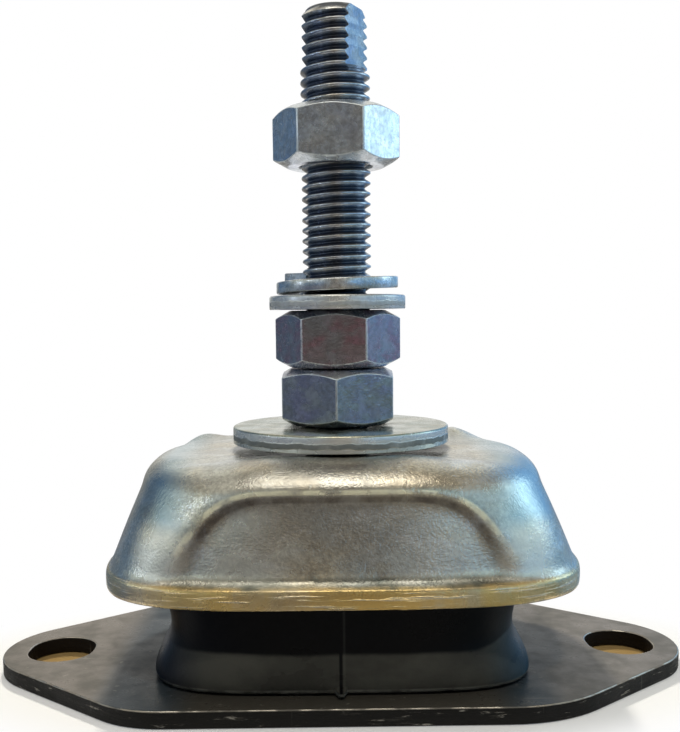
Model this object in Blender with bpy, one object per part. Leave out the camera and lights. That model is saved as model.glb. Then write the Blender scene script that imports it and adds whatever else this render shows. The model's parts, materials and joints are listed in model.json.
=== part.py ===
"""Flexible engine mount: a steel foot, a rubber spring, a pressed steel cap and an M12 stud with its nuts.

Frame: metres, +Z up the stud, X along the foot, -Y towards the viewer. The origin lies on the underside
of the foot, on the stud's axis.
"""

import math

import bmesh
import bpy
from mathutils import Matrix, Vector

MM = 0.001

# Clearances
SEAT_GAP = 0.15 * MM  # between steel pieces that rest on each other
BOND_GAP = 0.3 * MM  # between the rubber and the steel that it is bonded to
THREAD_GAP = 0.3 * MM  # between the stud and the plain bores around it

# Foot plate
PLATE_LENGTH = 120 * MM
PLATE_WIDTH = 60 * MM
PLATE_THICKNESS = 2.9 * MM
PLATE_TIP_RADIUS = 15.4 * MM
PLATE_TAPER = 26.5 * MM  # from a tip to the sharp corner where the straight edge starts
FRONT_LEFT_RADIUS = 15 * MM
FRONT_RIGHT_RADIUS = 22 * MM
REAR_RADIUS = 12 * MM
SLOT_FROM_TIP = 10 * MM
SLOT_WIDTH = 11.35 * MM
SLOT_LENGTH = 13.3 * MM

# Pressed cap
CAP_LENGTH = 79.5 * MM
CAP_WIDTH = 60 * MM
CAP_OFFSET = 0.25 * MM  # the cap sits this far to the right of the stud
CAP_WALL = 3 * MM
CAP_RIM_LEVEL = 17.9 * MM
CAP_RIM_HEIGHT = 3.3 * MM
CAP_TOP_LEVEL = 38.7 * MM
CAP_RIM_EXPONENT = 3.6
CAP_TOP_EXPONENT = 2.6
CAP_HOLE_CLEARANCE = 0.8 * MM
RIM_EDGE = 0.3 * MM  # rounding of the trimmed rim
WALL_FOOT_X = 0.9 * MM  # the wall stands this far inside the rim at the ends
WALL_FOOT_Y = 1.1 * MM
WALL_FOOT_RISE = 0.6 * MM  # the wall starts this far above the rim
WALL_DRAFT_X = 5 * MM  # and leans in by this much at the ends
WALL_DRAFT_Y = 1.5 * MM
SHOULDER_HEIGHT = 4.6 * MM
SHOULDER_REACH_X = 5.6 * MM
SHOULDER_REACH_Y = 9.4 * MM
LIP_SPACING = 35 * MM  # between the crests of the front and rear lips
LIP_WIDTH = 7 * MM
FRONT_LIP_HEIGHT = 1.2 * MM  # the front lip carries the large washer
FRONT_LIP_FLAT = 20 * MM  # full height over this length, then falling away
FRONT_LIP_FALL = 12 * MM
REAR_LIP_HEIGHT = 0.7 * MM
REAR_LIP_LEFT = -25.3 * MM  # where the rear lip ends on each side
REAR_LIP_RIGHT = 21.8 * MM
REAR_LIP_FALL = 9 * MM
LIP_KNOB_HEIGHT = 1.5 * MM  # the rear lip rises by this much more at its ends
LIP_KNOB_LENGTH = 3 * MM
VALLEY_DEPTH = 0.5 * MM  # creases behind the ends of the front lip
VALLEY_WIDTH = 3.5 * MM
VALLEY_OFFSET = 4.2 * MM  # from the front lip's crest
PANEL_DEPTH = 1.3 * MM  # arched panel pressed into the front and the rear
PANEL_FOOT_LENGTH = 58 * MM  # the panel widens from its top to the rim
PANEL_TOP_LENGTH = 39 * MM
PANEL_TOP_LEVEL = 35.6 * MM
PANEL_EXPONENT = 6
PANEL_BLEND = 0.13  # width of the panel's border against its own reach

# Rubber spring
RUBBER_END_INSET = 5.05 * MM  # from the inside of the cap's rim to the rubber's foot
RUBBER_SIDE_INSET = 2 * MM
RUBBER_WAIST = 3.1 * MM  # how far each end is drawn in at the waist
RUBBER_WAIST_LEVEL = 11.8 * MM
RUBBER_SIDE_WAIST = 0.5 * MM  # and the front and rear
RUBBER_FOOT_EDGE = 0.5 * MM
RUBBER_FLARE = 3.2 * MM  # how far each end widens again inside the cap
RUBBER_EXPONENT = 4.5

# Threaded boss under the cap
BOSS_RADIUS = 11 * MM
BOSS_HEIGHT = 16 * MM

# Stud
STUD_DIAMETER = 11.8 * MM  # over the crests of the M12 thread
STUD_LENGTH = 95 * MM
STUD_PROJECTION = 1.75 * MM  # how far it comes out below the boss
STUD_CHAMFER = 1.6 * MM
FLAT_HEIGHT = 10 * MM
FLAT_ACROSS = 8 * MM
FLAT_TURN = -27  # the way a flat faces, in degrees counterclockwise from the right

# Nuts
NUT_SIDES = 6
NUT_ACROSS_FLATS = 18.9 * MM
NUT_HEIGHT = 9.75 * MM
NUT_FACE_DIAMETER = 16.7 * MM
NUT_CHAMFER_ANGLE = 30
NUT_CORNER_ROUND = 0.985  # the corners are turned down to this share of their sharp radius
NUT_BORE_CHAMFER = 0.5 * MM
LOCK_NUT_TURN = 27.5
ADJUSTING_NUT_TURN = -4.8
CLAMP_NUT_TURN = -6.4
CLAMP_NUT_DROP = 16.15 * MM  # from the stud's top down to the nut

# Washers
LARGE_WASHER_DIAMETER = 37.5 * MM
LARGE_WASHER_THICKNESS = 2.9 * MM
LARGE_WASHER_BORE = 13.2 * MM
LARGE_WASHER_SHIFT = 0.35 * MM  # it lies this far to the right of the stud's axis
PLAIN_WASHER_DIAMETER = 23.5 * MM
PLAIN_WASHER_THICKNESS = 2.4 * MM
WASHER_EDGE = 0.3 * MM
SPRING_WASHER_DIAMETER = 21 * MM
SPRING_WASHER_THICKNESS = 2 * MM
SPRING_WASHER_RISE = 1.9 * MM
SPRING_WASHER_SPLIT = 8  # degrees left open
SPRING_WASHER_TURN = 155  # where the split lies, counterclockwise from the right

# Levels worked out from the sizes above
STUD_RADIUS = STUD_DIAMETER / 2
BORE_RADIUS = STUD_RADIUS + THREAD_GAP
CAP_INNER_LEVEL = CAP_TOP_LEVEL - CAP_WALL
BOSS_LEVEL = CAP_INNER_LEVEL - SEAT_GAP - BOSS_HEIGHT
STUD_BOTTOM_LEVEL = BOSS_LEVEL - STUD_PROJECTION
STUD_TOP_LEVEL = STUD_BOTTOM_LEVEL + STUD_LENGTH
LARGE_WASHER_LEVEL = CAP_TOP_LEVEL + FRONT_LIP_HEIGHT + SEAT_GAP
LOCK_NUT_LEVEL = LARGE_WASHER_LEVEL + LARGE_WASHER_THICKNESS + SEAT_GAP
ADJUSTING_NUT_LEVEL = LOCK_NUT_LEVEL + NUT_HEIGHT + SEAT_GAP
PLAIN_WASHER_LEVEL = ADJUSTING_NUT_LEVEL + NUT_HEIGHT + SEAT_GAP
SPRING_WASHER_LEVEL = PLAIN_WASHER_LEVEL + PLAIN_WASHER_THICKNESS + SEAT_GAP
CLAMP_NUT_LEVEL = STUD_TOP_LEVEL - CLAMP_NUT_DROP - NUT_HEIGHT

# Fineness of the shapes
RING_STEPS = 96
CROWN_SHARES = (0.35, 0.6, 0.8)  # rings between the cap's hole and its shoulder
SHOULDER_STEPS = 6
WALL_STEPS = 6
RUBBER_STEPS = 5
ROUND_STEPS = 64
NUT_STEPS = 48
SHARP_ANGLE = 28

ZINC = (0.62, 0.63, 0.6)
BLUE_ZINC = (0.5, 0.55, 0.6)
DARK_ZINC = (0.3, 0.33, 0.38)
BLACK_STEEL = (0.045, 0.043, 0.042)
RUBBER_BLACK = (0.012, 0.014, 0.02)
BARE_STEEL = (0.4, 0.4, 0.4)


def clear_scene():
    """Remove every object that the file starts with."""
    for obj in list(bpy.data.objects):
        bpy.data.objects.remove(obj, do_unlink=True)


def new_collection(name):
    """Make a collection in the scene."""
    collection = bpy.data.collections.new(name)
    bpy.context.scene.collection.children.link(collection)
    return collection


def new_material(name, colour, roughness, metallic):
    """Make a Principled material."""
    material = bpy.data.materials.new(name)
    material.use_nodes = True
    shader = material.node_tree.nodes["Principled BSDF"]
    shader.inputs["Base Color"].default_value = (*colour, 1)
    shader.inputs["Roughness"].default_value = roughness
    shader.inputs["Metallic"].default_value = metallic
    return material


def new_empty(name, collection, level=0.0, parent=None):
    """Make an empty on the stud's axis at a level above its parent."""
    empty = bpy.data.objects.new(name, None)
    empty.empty_display_size = 0.01
    empty.location = (0, 0, level)
    empty.parent = parent
    collection.objects.link(empty)
    return empty


def add_mesh(name, bm, collection, material=None, parent=None, location=(0, 0, 0), turn=0.0):
    """Turn a bmesh into a smooth shaded object and place it.

    Args:
        name: the node's name.
        bm: the shape, which is freed here.
        collection: where the object goes.
        material: its finish, or None for a cutter.
        parent: the empty that it is placed from.
        location: its origin, from its parent.
        turn: its rotation about Z in degrees.
    """
    bmesh.ops.recalc_face_normals(bm, faces=bm.faces)
    mesh = bpy.data.meshes.new(name)
    bm.to_mesh(mesh)
    bm.free()
    mesh.shade_smooth()
    mesh.set_sharp_from_angle(angle=math.radians(SHARP_ANGLE))
    if material:
        mesh.materials.append(material)
    obj = bpy.data.objects.new(name, mesh)
    obj.parent = parent
    obj.location = location
    obj.rotation_euler.z = math.radians(turn)
    collection.objects.link(obj)
    return obj


def add_cutter(name, bm, cutters, **place):
    """Make an object that only serves a Boolean."""
    cutter = add_mesh(name, bm, cutters, **place)
    cutter.hide_render = True
    cutter.display_type = "WIRE"
    return cutter


def cut(target, cutter, operation="DIFFERENCE"):
    """Add a Boolean of the cutter to the target."""
    modifier = target.modifiers.new(cutter.name, "BOOLEAN")
    modifier.operation = operation
    modifier.solver = "EXACT"
    modifier.object = cutter


def turned(profile, steps=ROUND_STEPS):
    """Turn a closed profile of (radius, height) points about Z and return it as a bmesh."""
    bm = bmesh.new()
    corners = [bm.verts.new((radius, 0, height)) for radius, height in profile]
    edges = [bm.edges.new((corners[i - 1], corners[i])) for i in range(len(corners))]
    bmesh.ops.spin(
        bm,
        geom=corners + edges,
        axis=(0, 0, 1),
        cent=(0, 0, 0),
        angle=math.tau,
        steps=steps,
        use_merge=True,
    )
    bmesh.ops.remove_doubles(bm, verts=bm.verts, dist=1e-7)
    return bm


def loft(rings, closed=False):
    """Join rings of equal point counts with faces.

    Args:
        rings: lists of points, in order along the surface.
        closed: whether the last ring joins the first, and otherwise both ends are capped.
    """
    bm = bmesh.new()
    rows = [[bm.verts.new(point) for point in ring] for ring in rings]
    count = len(rows[0])
    first = 0 if closed else 1
    for index in range(first, len(rows)):
        before, after = rows[index - 1], rows[index]
        for i in range(count):
            j = (i + 1) % count
            bm.faces.new((before[i], before[j], after[j], after[i]))
    if not closed:
        bm.faces.new(rows[0])
        bm.faces.new(rows[-1])
    return bm


def oval(half_x, half_y, exponent, level, count, shift=0.0):
    """Points of a superellipse at a level, evenly spread by direction."""
    points = []
    for i in range(count):
        angle = math.tau * i / count
        c, s = math.cos(angle), math.sin(angle)
        reach = (abs(c / half_x) ** exponent + abs(s / half_y) ** exponent) ** (-1 / exponent)
        points.append(Vector((shift + reach * c, reach * s, level)))
    return points


def smooth_step(value):
    """Ease a value from 0 to 1."""
    value = min(max(value, 0.0), 1.0)
    return value * value * (3 - 2 * value)


def corner_arc(before, corner, after, radius, steps=8):
    """Points of the arc that rounds a corner of an outline."""
    back = (before - corner).normalized()
    ahead = (after - corner).normalized()
    half = back.angle(ahead) / 2
    reach = radius / math.tan(half)
    middle = corner + (back + ahead).normalized() * (radius / math.sin(half))
    start = corner + back * reach - middle
    end = corner + ahead * reach - middle
    sweep = start.angle_signed(end)
    points = []
    for i in range(steps + 1):
        turn = Matrix.Rotation(-sweep * i / steps, 2)
        points.append(middle + turn @ start)
    return points


def plate_outline():
    """Points round the foot plate, counterclockwise from the right tip."""
    tip_x = PLATE_LENGTH / 2 - PLATE_TIP_RADIUS
    edge_x = PLATE_LENGTH / 2 - PLATE_TAPER
    edge_y = PLATE_WIDTH / 2
    reach = math.hypot(tip_x - edge_x, edge_y)
    tangent = math.atan2(edge_y, edge_x - tip_x) - math.acos(PLATE_TIP_RADIUS / reach)
    tip_arc = [
        Vector((PLATE_TIP_RADIUS * math.cos(a), PLATE_TIP_RADIUS * math.sin(a)))
        for a in (tangent * i / 12 for i in range(-12, 13))
    ]
    right_tip = [Vector((tip_x, 0)) + p for p in tip_arc]
    left_tip = [Vector((-tip_x, 0)) - p for p in tip_arc]
    rear_right = Vector((edge_x, edge_y))
    rear_left = Vector((-edge_x, edge_y))
    front_left = Vector((-edge_x, -edge_y))
    front_right = Vector((edge_x, -edge_y))
    return (
        right_tip
        + corner_arc(right_tip[-1], rear_right, rear_left, REAR_RADIUS)
        + corner_arc(rear_right, rear_left, left_tip[0], REAR_RADIUS)
        + left_tip
        + corner_arc(left_tip[-1], front_left, front_right, FRONT_LEFT_RADIUS)
        + corner_arc(front_left, front_right, right_tip[0], FRONT_RIGHT_RADIUS)
    )


def slot_outline(centre_x):
    """Points round a bolt slot that is longest across the foot."""
    radius = SLOT_WIDTH / 2
    straight = (SLOT_LENGTH - SLOT_WIDTH) / 2
    points = []
    for side in (1, -1):
        for i in range(17):
            angle = math.pi * i / 16
            x = centre_x + side * radius * math.cos(angle)
            points.append(Vector((x, side * (straight + radius * math.sin(angle)))))
    return points


def add_plate(parts):
    """Make the foot plate as a flat outline with two slots."""
    curve = bpy.data.curves.new("base_plate", "CURVE")
    curve.dimensions = "2D"
    curve.fill_mode = "BOTH"
    curve.extrude = PLATE_THICKNESS / 2
    slot_x = PLATE_LENGTH / 2 - SLOT_FROM_TIP
    for outline in (plate_outline(), slot_outline(-slot_x), slot_outline(slot_x)):
        spline = curve.splines.new("POLY")
        spline.points.add(len(outline) - 1)
        for point, place in zip(spline.points, outline):
            point.co = (place.x, place.y, 0, 1)
        spline.use_cyclic_u = True
    curve.materials.append(new_material("black_steel", BLACK_STEEL, 0.55, 0.6))
    plate = bpy.data.objects.new("base_plate", curve)
    plate.location = (0, 0, PLATE_THICKNESS / 2)
    parts.objects.link(plate)
    return plate


def bump(distance, width):
    """A smooth bump that is 1 at no distance and falls away over half a width."""
    return math.exp(-((distance / (width / 2)) ** 2))


def lip_rise(x, y):
    """How far the cap's top is raised at a place by its front and rear lips."""
    across = abs(y) - LIP_SPACING / 2
    crest = bump(across, LIP_WIDTH) if across < 0 else bump(across, LIP_WIDTH * 2)
    if y < 0:
        past_end = (abs(x) - FRONT_LIP_FLAT / 2) / FRONT_LIP_FALL
        return FRONT_LIP_HEIGHT * smooth_step(1 - past_end) * crest
    past_end = x - REAR_LIP_RIGHT if x > 0 else REAR_LIP_LEFT - x
    knob = LIP_KNOB_HEIGHT * smooth_step(1 + past_end / LIP_KNOB_LENGTH)
    return (REAR_LIP_HEIGHT + knob) * smooth_step(1 - past_end / REAR_LIP_FALL) * crest


def valley_drop(x, y):
    """How far the cap's top is creased at a place behind the ends of its front lip."""
    behind = bump(LIP_SPACING / 2 - VALLEY_OFFSET + y, VALLEY_WIDTH)
    beside = bump(abs(x) - FRONT_LIP_FLAT / 2 - FRONT_LIP_FALL, FRONT_LIP_FALL)
    return VALLEY_DEPTH * behind * beside


def panel_depth(x, z):
    """How far the cap's front or rear wall is pressed in at a place."""
    rim_top = CAP_RIM_LEVEL + CAP_RIM_HEIGHT
    above = (z - rim_top) / (PANEL_TOP_LEVEL - rim_top)
    length = PANEL_FOOT_LENGTH + (PANEL_TOP_LENGTH - PANEL_FOOT_LENGTH) * min(above, 1)
    across = abs(x) / (length / 2)
    reach = (across**PANEL_EXPONENT + above**PANEL_EXPONENT) ** (1 / PANEL_EXPONENT)
    return PANEL_DEPTH * smooth_step((1 - reach) / PANEL_BLEND)


def cap_sections():
    """The cap's outer sections from the crown to the rim, each (inset along X, inset along Y, level).

    The insets are from the rim's half length and half width. The sides follow the draft of the ends,
    and the shoulder is a quarter of an oval that meets them.
    """
    wall_foot = CAP_RIM_LEVEL + CAP_RIM_HEIGHT + WALL_FOOT_RISE
    wall_top = CAP_TOP_LEVEL - SHOULDER_HEIGHT
    sections = []
    for i in range(SHOULDER_STEPS):
        angle = math.pi / 2 * i / SHOULDER_STEPS
        ease = 1 - math.sin(angle)
        inset_x = WALL_FOOT_X + WALL_DRAFT_X + SHOULDER_REACH_X * ease
        inset_y = WALL_FOOT_Y + WALL_DRAFT_Y + SHOULDER_REACH_Y * ease
        sections.append((inset_x, inset_y, wall_top + SHOULDER_HEIGHT * math.cos(angle)))
    for i in range(WALL_STEPS + 1):
        up = 1 - i / WALL_STEPS
        level = wall_foot + (wall_top - wall_foot) * up
        sections.append((WALL_FOOT_X + WALL_DRAFT_X * up, WALL_FOOT_Y + WALL_DRAFT_Y * up, level))
    return sections


def cap_ring(inset_x, inset_y, level):
    """One ring of the cap's wall or rim, with its pressed panels.

    Args:
        inset_x: inset from the rim's half length.
        inset_y: inset from the rim's half width.
        level: the ring's height.
    """
    half_x = CAP_LENGTH / 2 - inset_x
    half_y = CAP_WIDTH / 2 - inset_y
    share = smooth_step((level - CAP_RIM_LEVEL) / (CAP_TOP_LEVEL - CAP_RIM_LEVEL))
    exponent = CAP_RIM_EXPONENT + (CAP_TOP_EXPONENT - CAP_RIM_EXPONENT) * share**3
    ring = oval(half_x, half_y, exponent, level, RING_STEPS, CAP_OFFSET)
    if level > CAP_RIM_LEVEL + CAP_RIM_HEIGHT:
        for point in ring:
            point.y -= math.copysign(panel_depth(point.x, level), point.y)
    return ring


def cap_skin(inward):
    """The cap's surface from the stud hole to the wall's foot, moved inward by a distance."""
    level = CAP_TOP_LEVEL - inward
    hole = STUD_RADIUS + CAP_HOLE_CLEARANCE
    sections = cap_sections()
    crown_x = CAP_LENGTH / 2 - sections[0][0] - inward
    crown_y = CAP_WIDTH / 2 - sections[0][1] - inward
    rings = [oval(hole, hole, 2, level, RING_STEPS)]
    for share in CROWN_SHARES:
        half_x = hole + (crown_x - hole) * share
        half_y = hole + (crown_y - hole) * share
        exponent = 2 + (CAP_TOP_EXPONENT - 2) * share
        rings.append(oval(half_x, half_y, exponent, level, RING_STEPS, CAP_OFFSET * share))
    for inset_x, inset_y, section_level in sections:
        kept = max(0.0, 1 - (CAP_TOP_LEVEL - section_level) / SHOULDER_HEIGHT)
        rings.append(cap_ring(inset_x + inward, inset_y + inward, section_level - inward * kept))
    for ring in rings[1:]:
        for point in ring:
            depth = (level - point.z) / SHOULDER_HEIGHT
            raised = smooth_step((1 - depth) * 4 / 3)
            point.z += raised * lip_rise(point.x, point.y)
            if inward == 0:
                point.z -= raised * valley_drop(point.x, point.y)
    return rings


def add_cap(parts, parent, material):
    """Make the pressed cap as one wall of even thickness with a trimmed rim."""
    rim_top = CAP_RIM_LEVEL + CAP_RIM_HEIGHT
    outer = cap_skin(0)
    inner = cap_skin(CAP_WALL)
    rim = [
        cap_ring(RIM_EDGE, RIM_EDGE, rim_top),
        cap_ring(0, 0, rim_top - RIM_EDGE),
        cap_ring(0, 0, CAP_RIM_LEVEL + RIM_EDGE),
        cap_ring(RIM_EDGE, RIM_EDGE, CAP_RIM_LEVEL),
        cap_ring(CAP_WALL, CAP_WALL, CAP_RIM_LEVEL),
    ]
    bm = loft(outer + rim + inner[::-1], closed=True)
    return add_mesh("cap", bm, parts, material, parent)


def add_rubber(parts, material):
    """Make the rubber spring: waisted below the cap, filling the cap above, with a pocket for the boss."""
    half_x = CAP_LENGTH / 2 - CAP_WALL - RUBBER_END_INSET
    half_y = CAP_WIDTH / 2 - CAP_WALL - RUBBER_SIDE_INSET
    foot = PLATE_THICKNESS + BOND_GAP
    foot_top = foot + RUBBER_FOOT_EDGE
    flare_top = CAP_RIM_LEVEL + CAP_RIM_HEIGHT
    outlines = [
        (half_x - RUBBER_FOOT_EDGE, half_y - RUBBER_FOOT_EDGE, foot),
        (half_x, half_y, foot_top),
    ]
    for i in range(1, RUBBER_STEPS + 1):
        drawn = smooth_step(i / RUBBER_STEPS)
        level = foot_top + (RUBBER_WAIST_LEVEL - foot_top) * i / RUBBER_STEPS
        outlines.append((half_x - RUBBER_WAIST * drawn, half_y - RUBBER_SIDE_WAIST * drawn, level))
    for i in range(1, RUBBER_STEPS):
        flared = RUBBER_FLARE * smooth_step(i / RUBBER_STEPS)
        level = RUBBER_WAIST_LEVEL + (flare_top - RUBBER_WAIST_LEVEL) * i / (RUBBER_STEPS - 1)
        outlines.append((half_x - RUBBER_WAIST + flared, half_y - RUBBER_SIDE_WAIST, level))
    rings = [oval(x, y, RUBBER_EXPONENT, level, RING_STEPS) for x, y, level in outlines]
    filled = cap_skin(CAP_WALL + BOND_GAP)[len(CROWN_SHARES) + 1 :]
    pocket = BOSS_RADIUS + BOND_GAP
    top = CAP_INNER_LEVEL - BOND_GAP
    pocket_floor = STUD_BOTTOM_LEVEL - BOND_GAP
    rings += filled[::-1]
    rings += [
        oval(pocket, pocket, 2, top, RING_STEPS),
        oval(pocket, pocket, 2, pocket_floor, RING_STEPS),
    ]
    return add_mesh("rubber_body", loft(rings), parts, material)


def washer_profile(bore, diameter, thickness):
    """Profile of a flat washer with broken outer edges, from its underside."""
    edge = WASHER_EDGE
    radius = diameter / 2
    return [
        (bore, 0),
        (bore, thickness),
        (radius - edge, thickness),
        (radius, thickness - edge),
        (radius, edge),
        (radius - edge, 0),
    ]


def add_nut(name, parts, cutters, parent, material, level, turn):
    """Make a hexagon nut that is chamfered on both sides, with its origin on its underside."""
    corner = NUT_ACROSS_FLATS / 2 / math.cos(math.pi / NUT_SIDES)
    bm = bmesh.new()
    bmesh.ops.create_cone(
        bm,
        cap_ends=True,
        segments=NUT_SIDES,
        radius1=corner,
        radius2=corner,
        depth=NUT_HEIGHT,
        matrix=Matrix.Translation((0, 0, NUT_HEIGHT / 2)) @ Matrix.Rotation(math.pi / NUT_SIDES, 4, "Z"),
    )
    nut = add_mesh(name, bm, parts, material, parent, (0, 0, level), turn)
    face = NUT_FACE_DIAMETER / 2
    outer = corner * NUT_CORNER_ROUND
    slope = (outer - face) * math.tan(math.radians(NUT_CHAMFER_ANGLE))
    envelope = turned(
        [
            (BORE_RADIUS + NUT_BORE_CHAMFER, 0),
            (BORE_RADIUS, NUT_BORE_CHAMFER),
            (BORE_RADIUS, NUT_HEIGHT - NUT_BORE_CHAMFER),
            (BORE_RADIUS + NUT_BORE_CHAMFER, NUT_HEIGHT),
            (face, NUT_HEIGHT),
            (outer, NUT_HEIGHT - slope),
            (outer, slope),
            (face, 0),
        ],
        NUT_STEPS,
    )
    place = {"parent": parent, "location": (0, 0, level), "turn": turn}
    cut(nut, add_cutter(f"{name}_envelope", envelope, cutters, **place), "INTERSECT")
    return nut


def add_stud(parts, cutters, parent, material):
    """Make the stud with chamfered ends and two wrench flats at its top, with its origin at its foot."""
    bm = bmesh.new()
    bmesh.ops.create_cone(
        bm,
        cap_ends=True,
        segments=ROUND_STEPS,
        radius1=STUD_RADIUS,
        radius2=STUD_RADIUS,
        depth=STUD_LENGTH,
        matrix=Matrix.Translation((0, 0, STUD_LENGTH / 2)),
    )
    ends = [edge for edge in bm.edges if abs(edge.verts[0].co.z - edge.verts[1].co.z) < 1e-6]
    bmesh.ops.bevel(bm, geom=ends, offset=STUD_CHAMFER, segments=1, affect="EDGES")
    stud = add_mesh("stud", bm, parts, material, parent, (0, 0, STUD_BOTTOM_LEVEL))
    for side in (1, -1):
        box = bmesh.new()
        size = (STUD_DIAMETER, STUD_DIAMETER * 2, FLAT_HEIGHT * 2)
        middle = (side * (FLAT_ACROSS + STUD_DIAMETER) / 2, 0, STUD_LENGTH)
        bmesh.ops.create_cube(box, matrix=Matrix.Translation(middle) @ Matrix.Diagonal((*size, 1)))
        name = "flat_right" if side > 0 else "flat_left"
        place = {"parent": parent, "location": (0, 0, STUD_BOTTOM_LEVEL), "turn": FLAT_TURN}
        cut(stud, add_cutter(name, box, cutters, **place))
    return stud


def add_spring_washer(parts, parent, material, level):
    """Make the split spring washer, a rectangular bar wound in one turn that climbs counterclockwise."""
    inner = BORE_RADIUS
    outer = SPRING_WASHER_DIAMETER / 2
    thickness = SPRING_WASHER_THICKNESS
    edge = WASHER_EDGE
    section = [
        (inner, 0),
        (outer - edge, 0),
        (outer, edge),
        (outer, thickness - edge),
        (outer - edge, thickness),
        (inner, thickness),
    ]
    start = math.radians(SPRING_WASHER_TURN + SPRING_WASHER_SPLIT / 2)
    sweep = math.tau - math.radians(SPRING_WASHER_SPLIT)
    rings = []
    for i in range(ROUND_STEPS + 1):
        share = i / ROUND_STEPS
        angle = start + sweep * share
        lift = SPRING_WASHER_RISE * share
        rings.append([(r * math.cos(angle), r * math.sin(angle), h + lift) for r, h in section])
    return add_mesh("spring_washer", loft(rings), parts, material, parent, (0, 0, level))


def main():
    """Build the mount."""
    clear_scene()
    parts = new_collection("engine_mount")
    cutters = new_collection("cutters")
    zinc = new_material("zinc", ZINC, 0.3, 1)
    blue_zinc = new_material("blue_zinc", BLUE_ZINC, 0.28, 1)
    dark_zinc = new_material("dark_zinc", DARK_ZINC, 0.35, 1)
    bare_steel = new_material("bare_steel", BARE_STEEL, 0.5, 1)
    rubber = new_material("rubber", RUBBER_BLACK, 0.5, 0)

    sprung_top = new_empty("sprung_top", parts)
    adjusting_set = new_empty("adjusting_set", parts, ADJUSTING_NUT_LEVEL, sprung_top)
    clamp = new_empty("clamp", parts, CLAMP_NUT_LEVEL, sprung_top)

    add_plate(parts)
    add_rubber(parts, rubber)
    add_cap(parts, sprung_top, zinc)

    boss = turned(
        [(BORE_RADIUS, 0), (BORE_RADIUS, BOSS_HEIGHT), (BOSS_RADIUS, BOSS_HEIGHT), (BOSS_RADIUS, 0)],
        NUT_STEPS,
    )
    add_mesh("threaded_boss", boss, parts, bare_steel, sprung_top, (0, 0, BOSS_LEVEL))
    add_stud(parts, cutters, sprung_top, dark_zinc)

    large = turned(washer_profile(LARGE_WASHER_BORE / 2, LARGE_WASHER_DIAMETER, LARGE_WASHER_THICKNESS))
    large_place = (LARGE_WASHER_SHIFT, 0, LARGE_WASHER_LEVEL)
    add_mesh("large_washer", large, parts, blue_zinc, sprung_top, large_place)
    add_nut("lock_nut", parts, cutters, sprung_top, blue_zinc, LOCK_NUT_LEVEL, LOCK_NUT_TURN)
    add_nut("adjusting_nut", parts, cutters, adjusting_set, blue_zinc, 0, ADJUSTING_NUT_TURN)
    add_nut("clamp_nut", parts, cutters, clamp, blue_zinc, 0, CLAMP_NUT_TURN)

    plain = turned(washer_profile(BORE_RADIUS, PLAIN_WASHER_DIAMETER, PLAIN_WASHER_THICKNESS))
    plain_place = (0, 0, PLAIN_WASHER_LEVEL - ADJUSTING_NUT_LEVEL)
    add_mesh("plain_washer", plain, parts, blue_zinc, adjusting_set, plain_place)
    add_spring_washer(parts, adjusting_set, blue_zinc, SPRING_WASHER_LEVEL - ADJUSTING_NUT_LEVEL)


main()
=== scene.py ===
"""Dress the flexible engine mount: its plated hardware, pressed cap, moulded rubber and worn foot.

Frame: metres, +Z up the stud, +X along the foot, -Y towards the viewer. Every piece sits where its CAD
node sits, and takes its place and its main sizes from that node's box.
"""

import json
import logging
import math
from collections.abc import Callable
from dataclasses import dataclass
from enum import Enum

import bpy
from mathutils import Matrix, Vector

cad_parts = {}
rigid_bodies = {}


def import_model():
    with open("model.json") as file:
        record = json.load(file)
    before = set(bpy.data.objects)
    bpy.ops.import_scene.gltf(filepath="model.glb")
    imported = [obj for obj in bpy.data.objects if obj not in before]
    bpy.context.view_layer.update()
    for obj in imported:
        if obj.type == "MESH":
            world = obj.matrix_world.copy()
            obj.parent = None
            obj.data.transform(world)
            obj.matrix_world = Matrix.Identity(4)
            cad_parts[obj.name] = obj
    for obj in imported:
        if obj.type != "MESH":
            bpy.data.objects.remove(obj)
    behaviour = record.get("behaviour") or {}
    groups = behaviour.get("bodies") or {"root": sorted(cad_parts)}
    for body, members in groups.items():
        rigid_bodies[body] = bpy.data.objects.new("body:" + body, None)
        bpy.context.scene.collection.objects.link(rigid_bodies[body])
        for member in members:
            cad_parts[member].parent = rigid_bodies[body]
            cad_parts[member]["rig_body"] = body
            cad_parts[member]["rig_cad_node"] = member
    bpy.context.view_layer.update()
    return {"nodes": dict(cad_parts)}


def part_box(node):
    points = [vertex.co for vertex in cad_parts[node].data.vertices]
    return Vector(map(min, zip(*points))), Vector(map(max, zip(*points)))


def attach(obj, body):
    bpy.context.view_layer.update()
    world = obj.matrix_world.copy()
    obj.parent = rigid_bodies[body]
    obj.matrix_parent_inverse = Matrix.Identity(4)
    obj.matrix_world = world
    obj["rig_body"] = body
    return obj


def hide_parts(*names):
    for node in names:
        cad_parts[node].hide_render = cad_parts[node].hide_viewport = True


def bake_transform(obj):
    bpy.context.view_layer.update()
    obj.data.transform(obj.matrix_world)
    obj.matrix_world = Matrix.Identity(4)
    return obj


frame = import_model()

log = logging.getLogger("engine_mount")

MM = 0.001
PITCH = 1.75 * MM  # of the M12 thread
TURN = math.tau


class Body(Enum):
    """The bodies that the pieces ride on."""

    BASE = "base"
    SPRUNG_TOP = "sprung_top"
    WASHERS = "adjusting_washers"
    ADJUSTING_NUT = "adjusting_nut"
    CLAMP_NUT = "clamp_nut"


class Slot(Enum):
    """The material slots of the record."""

    FOOT = "foot_steel"
    RUBBER = "rubber"
    CAP = "cap_zinc"
    WASHER = "washer_zinc"
    NUT = "nut_zinc"
    STUD = "stud_zinc"
    BOSS = "boss_steel"


class Effect(Enum):
    """The shader groups that more than one finish uses."""

    TARNISH = "tarnish"
    SCRATCHES = "scratches"
    GRAIN = "grain"
    EDGE_WEAR = "edge_wear"


# Modelling helpers


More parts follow.
